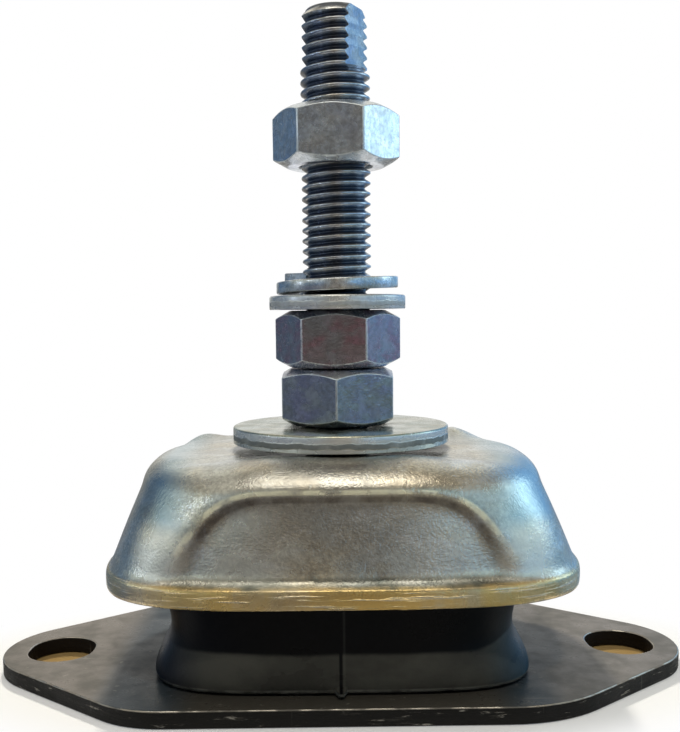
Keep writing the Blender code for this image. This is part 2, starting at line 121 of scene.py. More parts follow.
def deselect() -> None:
    """Leave edit mode and select nothing."""
    if bpy.context.mode != "OBJECT":
        bpy.ops.object.mode_set(mode="OBJECT")
    bpy.ops.object.select_all(action="DESELECT")


def activate(piece: bpy.types.Object) -> None:
    """Select one piece and make it the active one."""
    deselect()
    piece.select_set(True)
    bpy.context.view_layer.objects.active = piece


def edit(piece: bpy.types.Object, mode: str = "VERT") -> None:
    """Open a piece in edit mode with nothing selected."""
    activate(piece)
    bpy.ops.object.mode_set(mode="EDIT")
    bpy.ops.mesh.select_mode(type=mode)
    bpy.ops.mesh.select_all(action="DESELECT")


def pick_points(piece: bpy.types.Object, wanted: Callable[[Vector], bool]) -> int:
    """Select the points of a piece in edit mode by their place.

    Args:
        piece: the piece, open in edit mode.
        wanted: says for a place whether it is taken.

    Returns:
        How many points were taken.
    """
    bpy.ops.object.mode_set(mode="OBJECT")
    taken = 0
    for point in piece.data.vertices:
        point.select = wanted(point.co)
        taken += point.select
    bpy.ops.object.mode_set(mode="EDIT")
    return taken


def pick_faces(piece: bpy.types.Object, wanted: Callable[[bpy.types.MeshPolygon], bool]) -> int:
    """Select the faces of a piece in edit mode.

    Args:
        piece: the piece, open in edit mode in face mode.
        wanted: says for a face whether it is taken.

    Returns:
        How many faces were taken.
    """
    bpy.ops.object.mode_set(mode="OBJECT")
    taken = 0
    for face in piece.data.polygons:
        face.select = wanted(face)
        taken += face.select
    bpy.ops.object.mode_set(mode="EDIT")
    return taken


def apply_modifier(piece: bpy.types.Object, kind: str, **settings: object) -> None:
    """Add a modifier with its settings and apply it."""
    activate(piece)
    modifier = piece.modifiers.new(kind.lower(), kind)
    for name, value in settings.items():
        setattr(modifier, name, value)
    bpy.ops.object.modifier_apply(modifier=modifier.name)


def subdivide(piece: bpy.types.Object, levels: int) -> None:
    """Smooth a piece by subdivision."""
    apply_modifier(piece, "SUBSURF", levels=levels, render_levels=levels)


def combine(piece: bpy.types.Object, other: bpy.types.Object, operation: str) -> None:
    """Cut or intersect a piece with another, which is used up."""
    apply_modifier(piece, "BOOLEAN", operation=operation, solver="EXACT", object=other)
    bpy.data.objects.remove(other, do_unlink=True)


def tidy_mesh(piece: bpy.types.Object) -> None:
    """Merge doubles and make the faces point outwards."""
    edit(piece)
    bpy.ops.mesh.select_all(action="SELECT")
    bpy.ops.mesh.remove_doubles(threshold=0.002 * MM)
    bpy.ops.mesh.normals_make_consistent(inside=False)
    deselect()


def smooth(piece: bpy.types.Object, angle: float) -> None:
    """Shade a piece smoothly, with edges over an angle in degrees kept sharp."""
    activate(piece)
    bpy.ops.object.shade_smooth_by_angle(angle=math.radians(angle))


def keep_flats_flat(piece: bpy.types.Object, angle: float) -> None:
    """Shade a piece smoothly below an angle in degrees, with the large faces keeping their own normals."""
    smooth(piece, angle)
    apply_modifier(piece, "WEIGHTED_NORMAL", weight=90, keep_sharp=True)


def move_whole(piece: bpy.types.Object, place: Vector, turn: float = 0.0) -> None:
    """Move a piece, turned about Z by an angle in degrees, and settle both in its mesh."""
    activate(piece)
    piece.rotation_euler.z = math.radians(turn)
    piece.location += place
    bpy.ops.object.transform_apply(location=True, rotation=True, scale=True)


def outline(name: str, profile: list[tuple[float, float]], closed: bool) -> bpy.types.Object:
    """Draw a profile in the XZ plane by extruding one point along it.

    Args:
        name: the new object's name.
        profile: (radius, height) of each point.
        closed: whether the last point is joined to the first.

    Returns:
        A mesh of edges only.
    """
    deselect()
    bpy.ops.mesh.primitive_plane_add(size=MM, location=(0, 0, 0))
    piece = bpy.context.object
    piece.name = name
    edit(piece)
    bpy.ops.mesh.select_all(action="SELECT")
    bpy.ops.mesh.merge(type="CENTER")
    radius, height = profile[0]
    bpy.ops.transform.translate(value=(radius, 0, height))
    stops = profile[1:] + profile[:1] if closed else profile[1:]
    for next_radius, next_height in stops:
        step = (next_radius - radius, 0, next_height - height)
        bpy.ops.mesh.extrude_region_move(TRANSFORM_OT_translate={"value": step})
        radius, height = next_radius, next_height
    bpy.ops.mesh.select_all(action="SELECT")
    bpy.ops.mesh.remove_doubles(threshold=0.002 * MM)
    bpy.ops.object.mode_set(mode="OBJECT")
    return piece


def turned(name: str, profile: list[tuple[float, float]], steps: int) -> bpy.types.Object:
    """Turn a closed profile about the Z axis.

    Args:
        name: the new object's name.
        profile: (radius, height) of each corner.
        steps: faces round the axis.

    Returns:
        The closed piece.
    """
    piece = outline(name, profile, closed=True)
    bpy.ops.object.mode_set(mode="EDIT")
    bpy.ops.mesh.select_all(action="SELECT")
    bpy.ops.mesh.spin(steps=steps, angle=TURN, center=(0, 0, 0), axis=(0, 0, 1))
    tidy_mesh(piece)
    return piece


def arc(centre: tuple[float, float], radius: float, start: float, end: float, steps: int) -> list[tuple[float, float]]:
    """Points of an arc in a profile.

    Args:
        centre: (radius, height) of the arc's centre.
        radius: the arc's own radius.
        start: first angle in degrees, counterclockwise from outwards.
        end: last angle in degrees.
        steps: stretches between the points.

    Returns:
        The (radius, height) points.
    """
    angles = [math.radians(start + (end - start) * i / steps) for i in range(steps + 1)]
    return [(centre[0] + radius * math.cos(a), centre[1] + radius * math.sin(a)) for a in angles]


def copy_node(node: str, name: str) -> bpy.types.Object:
    """Copy a CAD node into a free piece with merged points.

    Args:
        node: the CAD node.
        name: the new piece's name.

    Returns:
        The copy.
    """
    activate(frame["nodes"][node])
    bpy.ops.object.duplicate()
    piece = bpy.context.object
    piece.name = name
    piece.data.name = name
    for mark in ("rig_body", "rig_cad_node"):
        if mark in piece:
            del piece[mark]
    piece.parent = None
    bpy.ops.mesh.customdata_custom_splitnormals_clear()
    tidy_mesh(piece)
    return piece


def settle(piece: bpy.types.Object, node: str, body: Body, finish: bpy.types.Material) -> None:
    """Give a piece its finish, let it ride on its body and stand for its CAD node."""
    piece.data.materials.clear()
    piece.data.materials.append(finish)
    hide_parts(node)
    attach(piece, body.value)
    log.info("%s: %d faces on %s", piece.name, len(piece.data.polygons), body.value)


# Shading helpers


class Graph:
    """Adds nodes to a node tree."""

    def __init__(self, tree: bpy.types.NodeTree) -> None:
        """Keep the tree that the nodes go into."""
        self.tree = tree

    def add(self, kind: str, **settings: object) -> bpy.types.Node:
        """Add a node and set its properties."""
        node = self.tree.nodes.new(kind)
        for name, value in settings.items():
            setattr(node, name, value)
        return node

    def feed(self, node: bpy.types.Node, **values: object) -> bpy.types.Node:
        """Set or link inputs by name, with an underscore for a space."""
        for name, value in values.items():
            socket = node.inputs[name.replace("_", " ")]
            if isinstance(value, bpy.types.NodeSocket):
                self.tree.links.new(value, socket)
            else:
                socket.default_value = value
        return node

    def maths(self, operation: str, first: object, second: object = 0.0) -> bpy.types.NodeSocket:
        """Combine two values."""
        node = self.add("ShaderNodeMath", operation=operation)
        for socket, value in zip(node.inputs, (first, second)):
            if isinstance(value, bpy.types.NodeSocket):
                self.tree.links.new(value, socket)
            else:
                socket.default_value = value
        return node.outputs[0]

    def remap(self, value: object, low: float, high: float, to_low: float, to_high: float) -> bpy.types.NodeSocket:
        """Map a value between two ranges with a smooth step, and clamp it."""
        node = self.add("ShaderNodeMapRange", interpolation_type="SMOOTHSTEP")
        self.feed(node, Value=value, From_Min=low, From_Max=high, To_Min=to_low, To_Max=to_high)
        return node.outputs[0]

    def band(self, value: object, middle: float, half: float) -> bpy.types.NodeSocket:
        """A soft band of a value, a half width to each side of its middle."""
        off = self.maths("ABSOLUTE", self.maths("SUBTRACT", value, middle))
        return self.remap(off, half * 0.3, half, 1.0, 0.0)

    def mix(self, factor: object, first: object, second: object, blend: str = "MIX") -> bpy.types.NodeSocket:
        """Mix two colours."""
        node = self.add("ShaderNodeMix", data_type="RGBA", blend_type=blend)
        for index, value in ((0, factor), (6, first), (7, second)):
            if isinstance(value, bpy.types.NodeSocket):
                self.tree.links.new(value, node.inputs[index])
            else:
                node.inputs[index].default_value = value
        return node.outputs[2]

    def place(self, scale: tuple[float, float, float] = (1, 1, 1)) -> bpy.types.NodeSocket:
        """Object coordinates, stretched along the axes."""
        coordinates = self.add("ShaderNodeTexCoord")
        mapping = self.add("ShaderNodeMapping")
        self.feed(mapping, Vector=coordinates.outputs["Object"], Scale=scale)
        return mapping.outputs[0]

    def noise(self, vector: object, scale: object, detail: float = 4.0, rough: float = 0.55) -> bpy.types.NodeSocket:
        """A noise value from 0 to 1."""
        node = self.add("ShaderNodeTexNoise")
        self.feed(node, Vector=vector, Scale=scale, Detail=detail, Roughness=rough)
        return node.outputs["Fac"]

    def axes(self, vector: object) -> bpy.types.NodeSocketVirtual:
        """Split a vector into its X, Y and Z."""
        node = self.add("ShaderNodeSeparateXYZ")
        self.feed(node, Vector=vector)
        return node.outputs

    def group(self, effect: Effect, **values: object) -> bpy.types.Node:
        """Place one of the shared effects."""
        node = self.add("ShaderNodeGroup", node_tree=bpy.data.node_groups[effect.value])
        return self.feed(node, **values)


def rgba(colour: tuple[float, float, float]) -> tuple[float, float, float, float]:
    """Add full opacity to a colour."""
    return (*colour, 1.0)


def new_group(effect: Effect, inputs: dict[str, float | tuple], output: str) -> tuple[Graph, bpy.types.Node, bpy.types.Node]:
    """Start a shared effect.

    Args:
        effect: which effect it is.
        inputs: the name and first value of each input, where a tuple is a colour.
        output: the name of the output, which is a colour if it is called Color.

    Returns:
        The graph to fill, its input node and its output node.
    """
    tree = bpy.data.node_groups.new(effect.value, "ShaderNodeTree")
    for name, value in inputs.items():
        kind = "NodeSocketColor" if isinstance(value, tuple) else "NodeSocketFloat"
        socket = tree.interface.new_socket(name=name, in_out="INPUT", socket_type=kind)
        socket.default_value = value
    kind = "NodeSocketColor" if output == "Color" else "NodeSocketFloat"
    tree.interface.new_socket(name=output, in_out="OUTPUT", socket_type=kind)
    graph = Graph(tree)
    return graph, graph.add("NodeGroupInput"), graph.add("NodeGroupOutput")


def make_tarnish() -> None:
    """Drifting patches of two tints over a base colour, as thin chromate films have."""
    inputs = {"Base": rgba((0.6, 0.6, 0.6)), "First": rgba((0.4, 0.5, 0.6)), "Second": rgba((0.6, 0.5, 0.4))}
    graph, given, made = new_group(Effect.TARNISH, {**inputs, "Scale": 60.0, "Amount": 0.5}, "Color")
    place = graph.place()
    broad = graph.noise(place, given.outputs["Scale"], 3.0)
    shifted = graph.noise(graph.place((1.0, 1.0, 1.7)), graph.maths("MULTIPLY", given.outputs["Scale"], 2.3), 5.0)
    first = graph.maths("MULTIPLY", graph.remap(broad, 0.42, 0.62, 0.0, 1.0), given.outputs["Amount"])
    second = graph.maths("MULTIPLY", graph.remap(shifted, 0.45, 0.65, 0.0, 1.0), given.outputs["Amount"])
    tinted = graph.mix(first, given.outputs["Base"], given.outputs["First"])
    graph.feed(made, Color=graph.mix(second, tinted, given.outputs["Second"]))


def make_scratches() -> None:
    """A mask of thin, broken handling marks that run in two directions."""
    graph, given, made = new_group(Effect.SCRATCHES, {"Scale": 900.0, "Amount": 0.5}, "Mask")
    marks = []
    for stretch in ((1.0, 1.0, 0.06), (0.07, 0.9, 1.0)):
        fine = graph.noise(graph.place(stretch), given.outputs["Scale"], 2.0)
        marks.append(graph.remap(fine, 0.66, 0.72, 0.0, 1.0))
    both = graph.maths("MAXIMUM", *marks)
    patches = graph.remap(graph.noise(graph.place(), 110.0, 2.0), 0.45, 0.62, 0.0, 1.0)
    graph.feed(made, Mask=graph.maths("MULTIPLY", graph.maths("MULTIPLY", both, patches), given.outputs["Amount"]))


def make_grain() -> None:
    """A height of fine grain over a slow unevenness."""
    graph, given, made = new_group(Effect.GRAIN, {"Scale": 3000.0, "Wave": 140.0, "Share": 0.5}, "Height")
    fine = graph.noise(graph.place(), given.outputs["Scale"], 3.0)
    slow = graph.noise(graph.place(), given.outputs["Wave"], 2.0)
    share = given.outputs["Share"]
    kept = graph.maths("MULTIPLY", fine, graph.maths("SUBTRACT", 1.0, share))
    graph.feed(made, Height=graph.maths("ADD", kept, graph.maths("MULTIPLY", slow, share)))


def make_edge_wear() -> None:
    """A mask of outer edges, broken up by noise."""
    graph, given, made = new_group(Effect.EDGE_WEAR, {"Start": 0.53, "Width": 0.06, "Scale": 500.0}, "Mask")
    geometry = graph.add("ShaderNodeNewGeometry")
    ragged = graph.maths("MULTIPLY", graph.maths("SUBTRACT", graph.noise(graph.place(), given.outputs["Scale"]), 0.5), 0.08)
    sharp = graph.maths("ADD", geometry.outputs["Pointiness"], ragged)
    over = graph.maths("DIVIDE", graph.maths("SUBTRACT", sharp, given.outputs["Start"]), given.outputs["Width"])
    graph.feed(made, Mask=graph.remap(over, 0.0, 1.0, 0.0, 1.0))


def new_finish(name: str) -> tuple[bpy.types.Material, Graph, bpy.types.Node]:
    """Start a material.

    Args:
        name: the material's name.

    Returns:
        The material, its graph and its Principled shader.
    """
    material = bpy.data.materials.new(name)
    material.use_nodes = True
    return material, Graph(material.node_tree), material.node_tree.nodes["Principled BSDF"]


@dataclass(frozen=True)
class ZincFinish:
    """Zinc plate with a thin chromate film.

    Sizes of patterns are scales in marks per metre, and depths are in metres.
    """

    name: str
    base: tuple[float, float, float]
    first_tint: tuple[float, float, float]
    second_tint: tuple[float, float, float]
    tint_amount: float = 0.6
    patch_scale: float = 90.0
    roughness: float = 0.24
    roughness_spread: float = 0.16
    grain_scale: float = 2600.0
    wave_scale: float = 160.0
    wave_share: float = 0.55
    bump_depth: float = 0.06 * MM
    scratch_amount: float = 0.6
    metal: float = 0.95
    mottle_scale: float = 1500.0
    mottle_amount: float = 0.3
    wear_colour: tuple[float, float, float] = (0.86, 0.87, 0.86)
    wear_amount: float = 0.7

    def build(self) -> tuple[bpy.types.Material, Graph, bpy.types.Node, dict[str, bpy.types.NodeSocket]]:
        """Make the material.

        Returns:
            The material, its graph, its shader and its colour, roughness and height before any addition.
        """
        material, graph, shader = new_finish(self.name)
        shader.inputs["Metallic"].default_value = self.metal
        tarnish = graph.group(
            Effect.TARNISH,
            Base=rgba(self.base),
            First=rgba(self.first_tint),
            Second=rgba(self.second_tint),
            Scale=self.patch_scale,
            Amount=self.tint_amount,
        ).outputs[0]
        specks = graph.remap(graph.noise(graph.place(), self.mottle_scale, 4.0, 0.7), 0.36, 0.64, 0.0, self.mottle_amount)
        tarnish = graph.mix(specks, tarnish, rgba((0.16, 0.15, 0.14)))
        worn = graph.group(Effect.EDGE_WEAR).outputs[0]
        scratched = graph.group(Effect.SCRATCHES, Amount=self.scratch_amount).outputs[0]
        shown = graph.maths("MAXIMUM", graph.maths("MULTIPLY", worn, self.wear_amount), scratched)
        colour = graph.mix(shown, tarnish, rgba(self.wear_colour))
        grain = graph.group(
            Effect.GRAIN, Scale=self.grain_scale, Wave=self.wave_scale, Share=self.wave_share
        ).outputs[0]
        patchy = graph.noise(graph.place(), self.patch_scale * 3, 4.0)
        low = self.roughness - self.roughness_spread / 2
        rough = graph.remap(patchy, 0.35, 0.65, low, low + self.roughness_spread)
        height = graph.maths("SUBTRACT", grain, graph.maths("MULTIPLY", scratched, 0.3))
        return material, graph, shader, {"colour": colour, "rough": rough, "height": height}

    def finish(self, made: tuple) -> bpy.types.Material:
        """Link colour, roughness and height to the shader of a built material."""
        material, graph, shader, sockets = made
        bump = graph.add("ShaderNodeBump")
        graph.feed(bump, Height=sockets["height"], Distance=self.bump_depth, Strength=1.0)
        graph.feed(shader, Base_Color=sockets["colour"], Roughness=sockets["rough"], Normal=bump.outputs[0])
        return material

    def plain(self) -> bpy.types.Material:
        """The finish with nothing added."""
        return self.finish(self.build())


@dataclass(frozen=True)
class ShearedEdgeFinish(ZincFinish):
    """Zinc over a blanked washer, whose edge has a burnished band above a torn one, and whose sideways faces get a
    painted sheen: lighter and less metallic.
    """

    low: float = 0.0
    thickness: float = 3 * MM
    torn_share: float = 0.5
    torn_start: float = 0.2
    torn_amount: float = 0.8
    # Share of the painted sheen that lightens the sideways faces.
    rubbed_and_sheen: float = 0.5
    torn_colour: tuple[float, float, float] = (0.2, 0.21, 0.2)

    def on_edge(self) -> bpy.types.Material:
        """The finish with the torn band, found by its height on faces that look sideways, and a painted sheen on those
        faces.
        """
        made = self.build()
        _, graph, shader, sockets = made
        facing = graph.axes(graph.add("ShaderNodeTexCoord").outputs["Normal"])
        sideways = graph.remap(graph.maths("ABSOLUTE", facing["Z"]), 0.2, 0.5, 1.0, 0.0)
        # Painted sheen: faces that look sideways are lightened towards the wear colour and made less metallic.
        sockets["colour"] = graph.mix(graph.maths("MULTIPLY", sideways, self.rubbed_and_sheen), sockets["colour"], rgba(self.wear_colour))
        graph.feed(shader, Metallic=graph.remap(sideways, 0.0, 1.0, self.metal, self.metal - 0.35))
        place = graph.place()
        ragged = graph.maths("MULTIPLY", graph.noise(graph.place((1, 1, 0.3)), 420.0), 1.1 * MM)
        level = graph.maths("SUBTRACT", graph.axes(place)["Z"], self.low)
        level = graph.maths("ADD", level, graph.maths("SUBTRACT", ragged, 0.55 * MM))
        top = self.thickness * self.torn_share
        torn = graph.maths(
            "MULTIPLY",
            graph.remap(level, top, top + 0.25 * MM, 1.0, 0.0),
            graph.remap(level, self.thickness * self.torn_start, self.thickness * self.torn_start + 0.2 * MM, 0.0, 1.0),
        )
        broken = graph.remap(graph.noise(graph.place((1, 1, 0.2)), 160.0, 3.0), 0.26, 0.46, 0.0, 1.0)
        torn = graph.maths("MULTIPLY", graph.maths("MULTIPLY", torn, sideways), broken)
        pits = graph.noise(graph.place((1, 1, 0.5)), 1500.0, 5.0, 0.7)
        sockets["colour"] = graph.mix(graph.maths("MULTIPLY", torn, self.torn_amount), sockets["colour"], rgba(self.torn_colour))
        sockets["rough"] = graph.maths("ADD", sockets["rough"], graph.maths("MULTIPLY", torn, 0.25))
        rougher = graph.maths("MULTIPLY", graph.maths("MULTIPLY", pits, torn), 2.5)
        sockets["height"] = graph.maths("ADD", sockets["height"], rougher)
        return self.finish(made)


@dataclass(frozen=True)
class CapFinish(ZincFinish):
    """Zinc on the pressing, browner and scuffed along its trimmed rim."""

    rim_top: float = 21.2 * MM
    dull_colour: tuple[float, float, float] = (0.3, 0.28, 0.25)
    rim_colour: tuple[float, float, float] = (0.85, 0.6, 0.22)
    rim_amount: float = 1.0
    panel_foot_half: float = 29 * MM
    panel_top_half: float = 19.5 * MM
    panel_rise: float = 14.4 * MM
    panel_exponent: float = 6.0
    seat_level: float = 38 * MM
    seat_reach: float = 17.6 * MM
    seat_shift: float = 0.35 * MM
    fillet_shade_colour: tuple[float, float, float] = (0.085, 0.097, 0.09)
    seat_shadow_colour: tuple[float, float, float] = (0.03, 0.03, 0.028)
    ridge_highlight_colour: tuple[float, float, float] = (0.9, 0.86, 0.64)
    crease_shade_colour: tuple[float, float, float] = (0.13, 0.11, 0.1)
    shoulder_reflection_colour: tuple[float, float, float] = (0.4, 0.52, 0.57)
    pale_sheen_colour: tuple[float, float, float] = (1.0, 0.97, 0.84)
    pale_sheen_amount: float = 0.5

    def with_rim(self) -> bpy.types.Material:
        """The finish with the rim's own tint and its drawn lines, and painted light: a painted highlight on the panels'
        ridge, painted shade in the crease inside it, along the fillet above the rim and round the wide washer, a
        painted blue reflection high on the shoulders and a pale painted sheen low at the ends and on the panels' sides.
        """
        made = self.build()
        _, graph, shader, sockets = made
        axes = graph.axes(graph.place())
        on_rim = graph.remap(axes["Z"], self.rim_top, self.rim_top + 0.4 * MM, 1.0, 0.0)
        rubbed_and_sheen = graph.remap(graph.noise(graph.place((0.35, 0.35, 1.0)), 420.0, 5.0, 0.6), 0.5, 0.68, 0.0, 0.45)
        sockets["colour"] = graph.mix(rubbed_and_sheen, sockets["colour"], rgba(self.wear_colour))
        clouds = graph.remap(graph.noise(graph.place((1, 1, 1.3)), 95.0, 6.0, 0.65), 0.42, 0.6, 0.0, 0.4)
        sockets["colour"] = graph.mix(clouds, sockets["colour"], rgba(self.dull_colour))
        patches = graph.noise(graph.place((1, 1, 0.4)), 120.0, 4.0)
        central = graph.remap(graph.maths("ABSOLUTE", axes["X"]), 20 * MM, 36 * MM, 1.0, 0.55)
        tint = graph.maths("MULTIPLY", on_rim, graph.remap(patches, 0.3, 0.6, self.rim_amount * 0.45, self.rim_amount))
        tint = graph.maths("MULTIPLY", tint, central)
        lines = graph.noise(graph.place((0.05, 0.05, 1.0)), 2400.0, 3.0)
        drawn = graph.maths("MULTIPLY", graph.remap(lines, 0.56, 0.66, 0.0, 1.0), on_rim)
        colour = graph.mix(tint, sockets["colour"], rgba(self.rim_colour))
        colour = graph.mix(graph.maths("MULTIPLY", drawn, 0.35), colour, rgba(self.wear_colour))
        sockets["height"] = graph.maths("ADD", sockets["height"], graph.maths("MULTIPLY", drawn, 0.6))
        reach = self.reach(graph, axes)
        off_middle = graph.maths("ABSOLUTE", axes["X"])
        # Painted sheen low on the ends: pale and less metallic.
        ends = graph.remap(off_middle, 30.5 * MM, 34 * MM, 0.55, 0.1)
        ends = graph.maths("MULTIPLY", graph.remap(off_middle, 22 * MM, 27 * MM, 0.0, 1.0), ends)
        rise = graph.remap(axes["Z"], self.rim_top + 6.5 * MM, self.rim_top + 10 * MM, 0.0, 1.0)
        # Painted reflection: a blue tint high on the shoulders, left out at the far left end.
        shoulder_reflection = graph.maths("MULTIPLY", graph.maths("MULTIPLY", graph.remap(off_middle, 22 * MM, 28 * MM, 0.0, 1.0), rise), 0.75)
        shoulder_reflection = graph.maths("MULTIPLY", shoulder_reflection, graph.remap(axes["X"], -31.5 * MM, -28 * MM, 0.0, 1.0))
        colour = graph.mix(shoulder_reflection, colour, rgba(self.shoulder_reflection_colour))
        crown = graph.remap(axes["Z"], self.rim_top + 12.5 * MM, self.rim_top + 14 * MM, 0.0, 0.28)
        crown = graph.maths("MULTIPLY", crown, graph.remap(off_middle, 14 * MM, 20 * MM, 1.0, 0.0))
        colour = graph.mix(crown, colour, rgba(self.dull_colour))
        pale_sheen = graph.maths("MULTIPLY", ends, graph.maths("SUBTRACT", 1.0, rise))
        broken = graph.noise(graph.place(), 300.0, 4.0)
        side = graph.maths("ABSOLUTE", graph.axes(graph.add("ShaderNodeTexCoord").outputs["Normal"])["Y"])
        shown = graph.maths(
            "MULTIPLY",
            graph.remap(axes["Z"], self.rim_top + 1.5 * MM, self.rim_top + 9 * MM, 0.0, 1.0),
            graph.remap(side, 0.3, 0.6, 0.0, 1.0),
        )
        # Painted highlight on the panels' ridge, lighter and less metallic; painted shade in the crease just inside it.
        outer = graph.maths("MULTIPLY", graph.band(reach, 0.985, 0.04), graph.remap(broken, 0.35, 0.6, 0.25, 0.95))
        inner = graph.maths("MULTIPLY", graph.band(reach, 0.905, 0.05), graph.remap(broken, 0.3, 0.7, 0.9, 0.4))
        outer, inner = graph.maths("MULTIPLY", outer, shown), graph.maths("MULTIPLY", inner, shown)
        # Painted shade along the fillet just above the rim, strongest in the middle.
        fillet_shade = graph.maths("MULTIPLY", graph.band(axes["Z"], self.rim_top + 0.5 * MM, 1.2 * MM), graph.remap(broken, 0.3, 0.6, 0.95, 0.6))
        fillet_shade = graph.maths("MULTIPLY", fillet_shade, graph.remap(off_middle, 20 * MM, 31 * MM, 1.0, 0.1))
        colour = graph.mix(fillet_shade, colour, rgba(self.fillet_shade_colour))
        # Painted shadow round the wide washer.
        colour = graph.mix(self.seat_shadow(graph, axes), colour, rgba(self.seat_shadow_colour))
        colour = graph.mix(inner, colour, rgba(self.crease_shade_colour))
        colour = graph.mix(outer, colour, rgba(self.ridge_highlight_colour))
        # Painted sheen on the panels' sides as well.
        panel_side = graph.maths("MULTIPLY", graph.remap(off_middle, 5 * MM, 15 * MM, 0.0, 0.3), graph.remap(reach, 0.8, 0.88, 1.0, 0.0))
        panel_side = graph.maths("MULTIPLY", panel_side, graph.remap(side, 0.3, 0.6, 0.0, 1.0))
        pale_sheen = graph.maths("MAXIMUM", pale_sheen, panel_side)
        pale_sheen_shown = graph.maths("MULTIPLY", pale_sheen, graph.remap(axes["Z"], self.rim_top, self.rim_top + 1.5 * MM, 0.0, 0.85))
        sockets["colour"] = graph.mix(pale_sheen_shown, colour, rgba(self.pale_sheen_colour))
        duller = graph.maths("ADD", graph.maths("MULTIPLY", outer, 0.6), graph.maths("MULTIPLY", pale_sheen, self.pale_sheen_amount))
        graph.feed(shader, Metallic=graph.maths("MAXIMUM", graph.maths("SUBTRACT", self.metal, duller), 0.0))
        return self.finish(made)

    def seat_shadow(self, graph: Graph, axes: dict[str, bpy.types.NodeSocket]) -> bpy.types.NodeSocket:
        """A mask of painted shadow round the wide washer, widest to its left and right."""
        off = graph.maths("SUBTRACT", axes["X"], self.seat_shift)
        squares = [graph.maths("MULTIPLY", part, part) for part in (off, axes["Y"])]
        distance = graph.maths("SQRT", graph.maths("ADD", *squares))
        width = graph.remap(graph.maths("ABSOLUTE", off), 6 * MM, 13 * MM, 0.5 * MM, 2.6 * MM)
        past = graph.maths("DIVIDE", graph.maths("SUBTRACT", distance, self.seat_reach - 0.6 * MM), width)
        near = graph.remap(past, 0.6, 1.0, 1.0, 0.0)
        return graph.maths("MULTIPLY", near, graph.remap(axes["Z"], self.seat_level - 1 * MM, self.seat_level, 0.0, 1.0))

    def reach(self, graph: Graph, axes: dict[str, bpy.types.NodeSocket]) -> bpy.types.NodeSocket:
        """How far a point lies from the panels' middle, where 1 is their border."""
        above = graph.maths("DIVIDE", graph.maths("SUBTRACT", axes["Z"], self.rim_top), self.panel_rise)
        drawn_in = graph.maths("MULTIPLY", graph.maths("MINIMUM", above, 1.0), self.panel_foot_half - self.panel_top_half)
        half = graph.maths("SUBTRACT", self.panel_foot_half, drawn_in)
        across = graph.maths("DIVIDE", graph.maths("ABSOLUTE", axes["X"]), half)
        powers = [
            graph.maths("POWER", graph.maths("MAXIMUM", share, 0.0), self.panel_exponent) for share in (across, above)
        ]
        return graph.maths("POWER", graph.maths("ADD", *powers), 1 / self.panel_exponent)


@dataclass(frozen=True)
class NutFinish(ZincFinish):
    """Zinc on a hexagon nut, lighter along the borders of its flats and on its chamfers: partly wear, partly a painted
    highlight.
    """

    turn: float = 0.0
    # Colour of the worn edges and of the painted highlight on them.
    edge_wear_and_highlight_colour: tuple[float, float, float] = (0.62, 0.67, 0.7)

    def with_edges(self) -> bpy.types.Material:
        """The finish with the lighter borders, found where the surface faces neither a flat nor a chamfer, and lighter
        chamfers: partly wear, partly a painted highlight, and on the chamfers a painted reflection.
        """
        made = self.build()
        _, graph, shader, sockets = made
        facing = graph.axes(graph.add("ShaderNodeTexCoord").outputs["Normal"])
        upward = graph.maths("ABSOLUTE", facing["Z"])
        angle = graph.maths("ARCTAN2", facing["Y"], facing["X"])
        beat = graph.maths("MULTIPLY", graph.maths("SUBTRACT", angle, math.radians(self.turn + 30)), 6.0)
        corner = graph.remap(graph.maths("COSINE", beat), 0.95, 0.6, 0.0, 1.0)
        corner = graph.maths("MULTIPLY", corner, graph.remap(upward, 0.5, 0.8, 0.7, 0.0))
        border = graph.maths("MULTIPLY", graph.remap(upward, 0.03, 0.12, 0.0, 1.0), graph.remap(upward, 0.8, 0.855, 1.0, 0.0))
        # Painted reflection: the chamfers are lightened.
        chamfer = graph.maths("MULTIPLY", graph.remap(upward, 0.7, 0.85, 0.0, 0.4), graph.remap(upward, 0.9, 0.97, 1.0, 0.0))
        rubbed_and_sheen = graph.maths("MAXIMUM", graph.maths("MAXIMUM", corner, border), chamfer)
        patchy = graph.remap(graph.noise(graph.place(), 350.0, 4.0), 0.35, 0.6, 0.55, 1.0)
        rubbed_and_sheen = graph.maths("MULTIPLY", rubbed_and_sheen, patchy)
        # Partly wear, partly painted highlight: corners, borders and chamfers turn lighter and less metallic.
        sockets["colour"] = graph.mix(rubbed_and_sheen, sockets["colour"], rgba(self.edge_wear_and_highlight_colour))
        graph.feed(shader, Metallic=graph.maths("SUBTRACT", self.metal, graph.maths("MULTIPLY", rubbed_and_sheen, 0.6)))
        return self.finish(made)


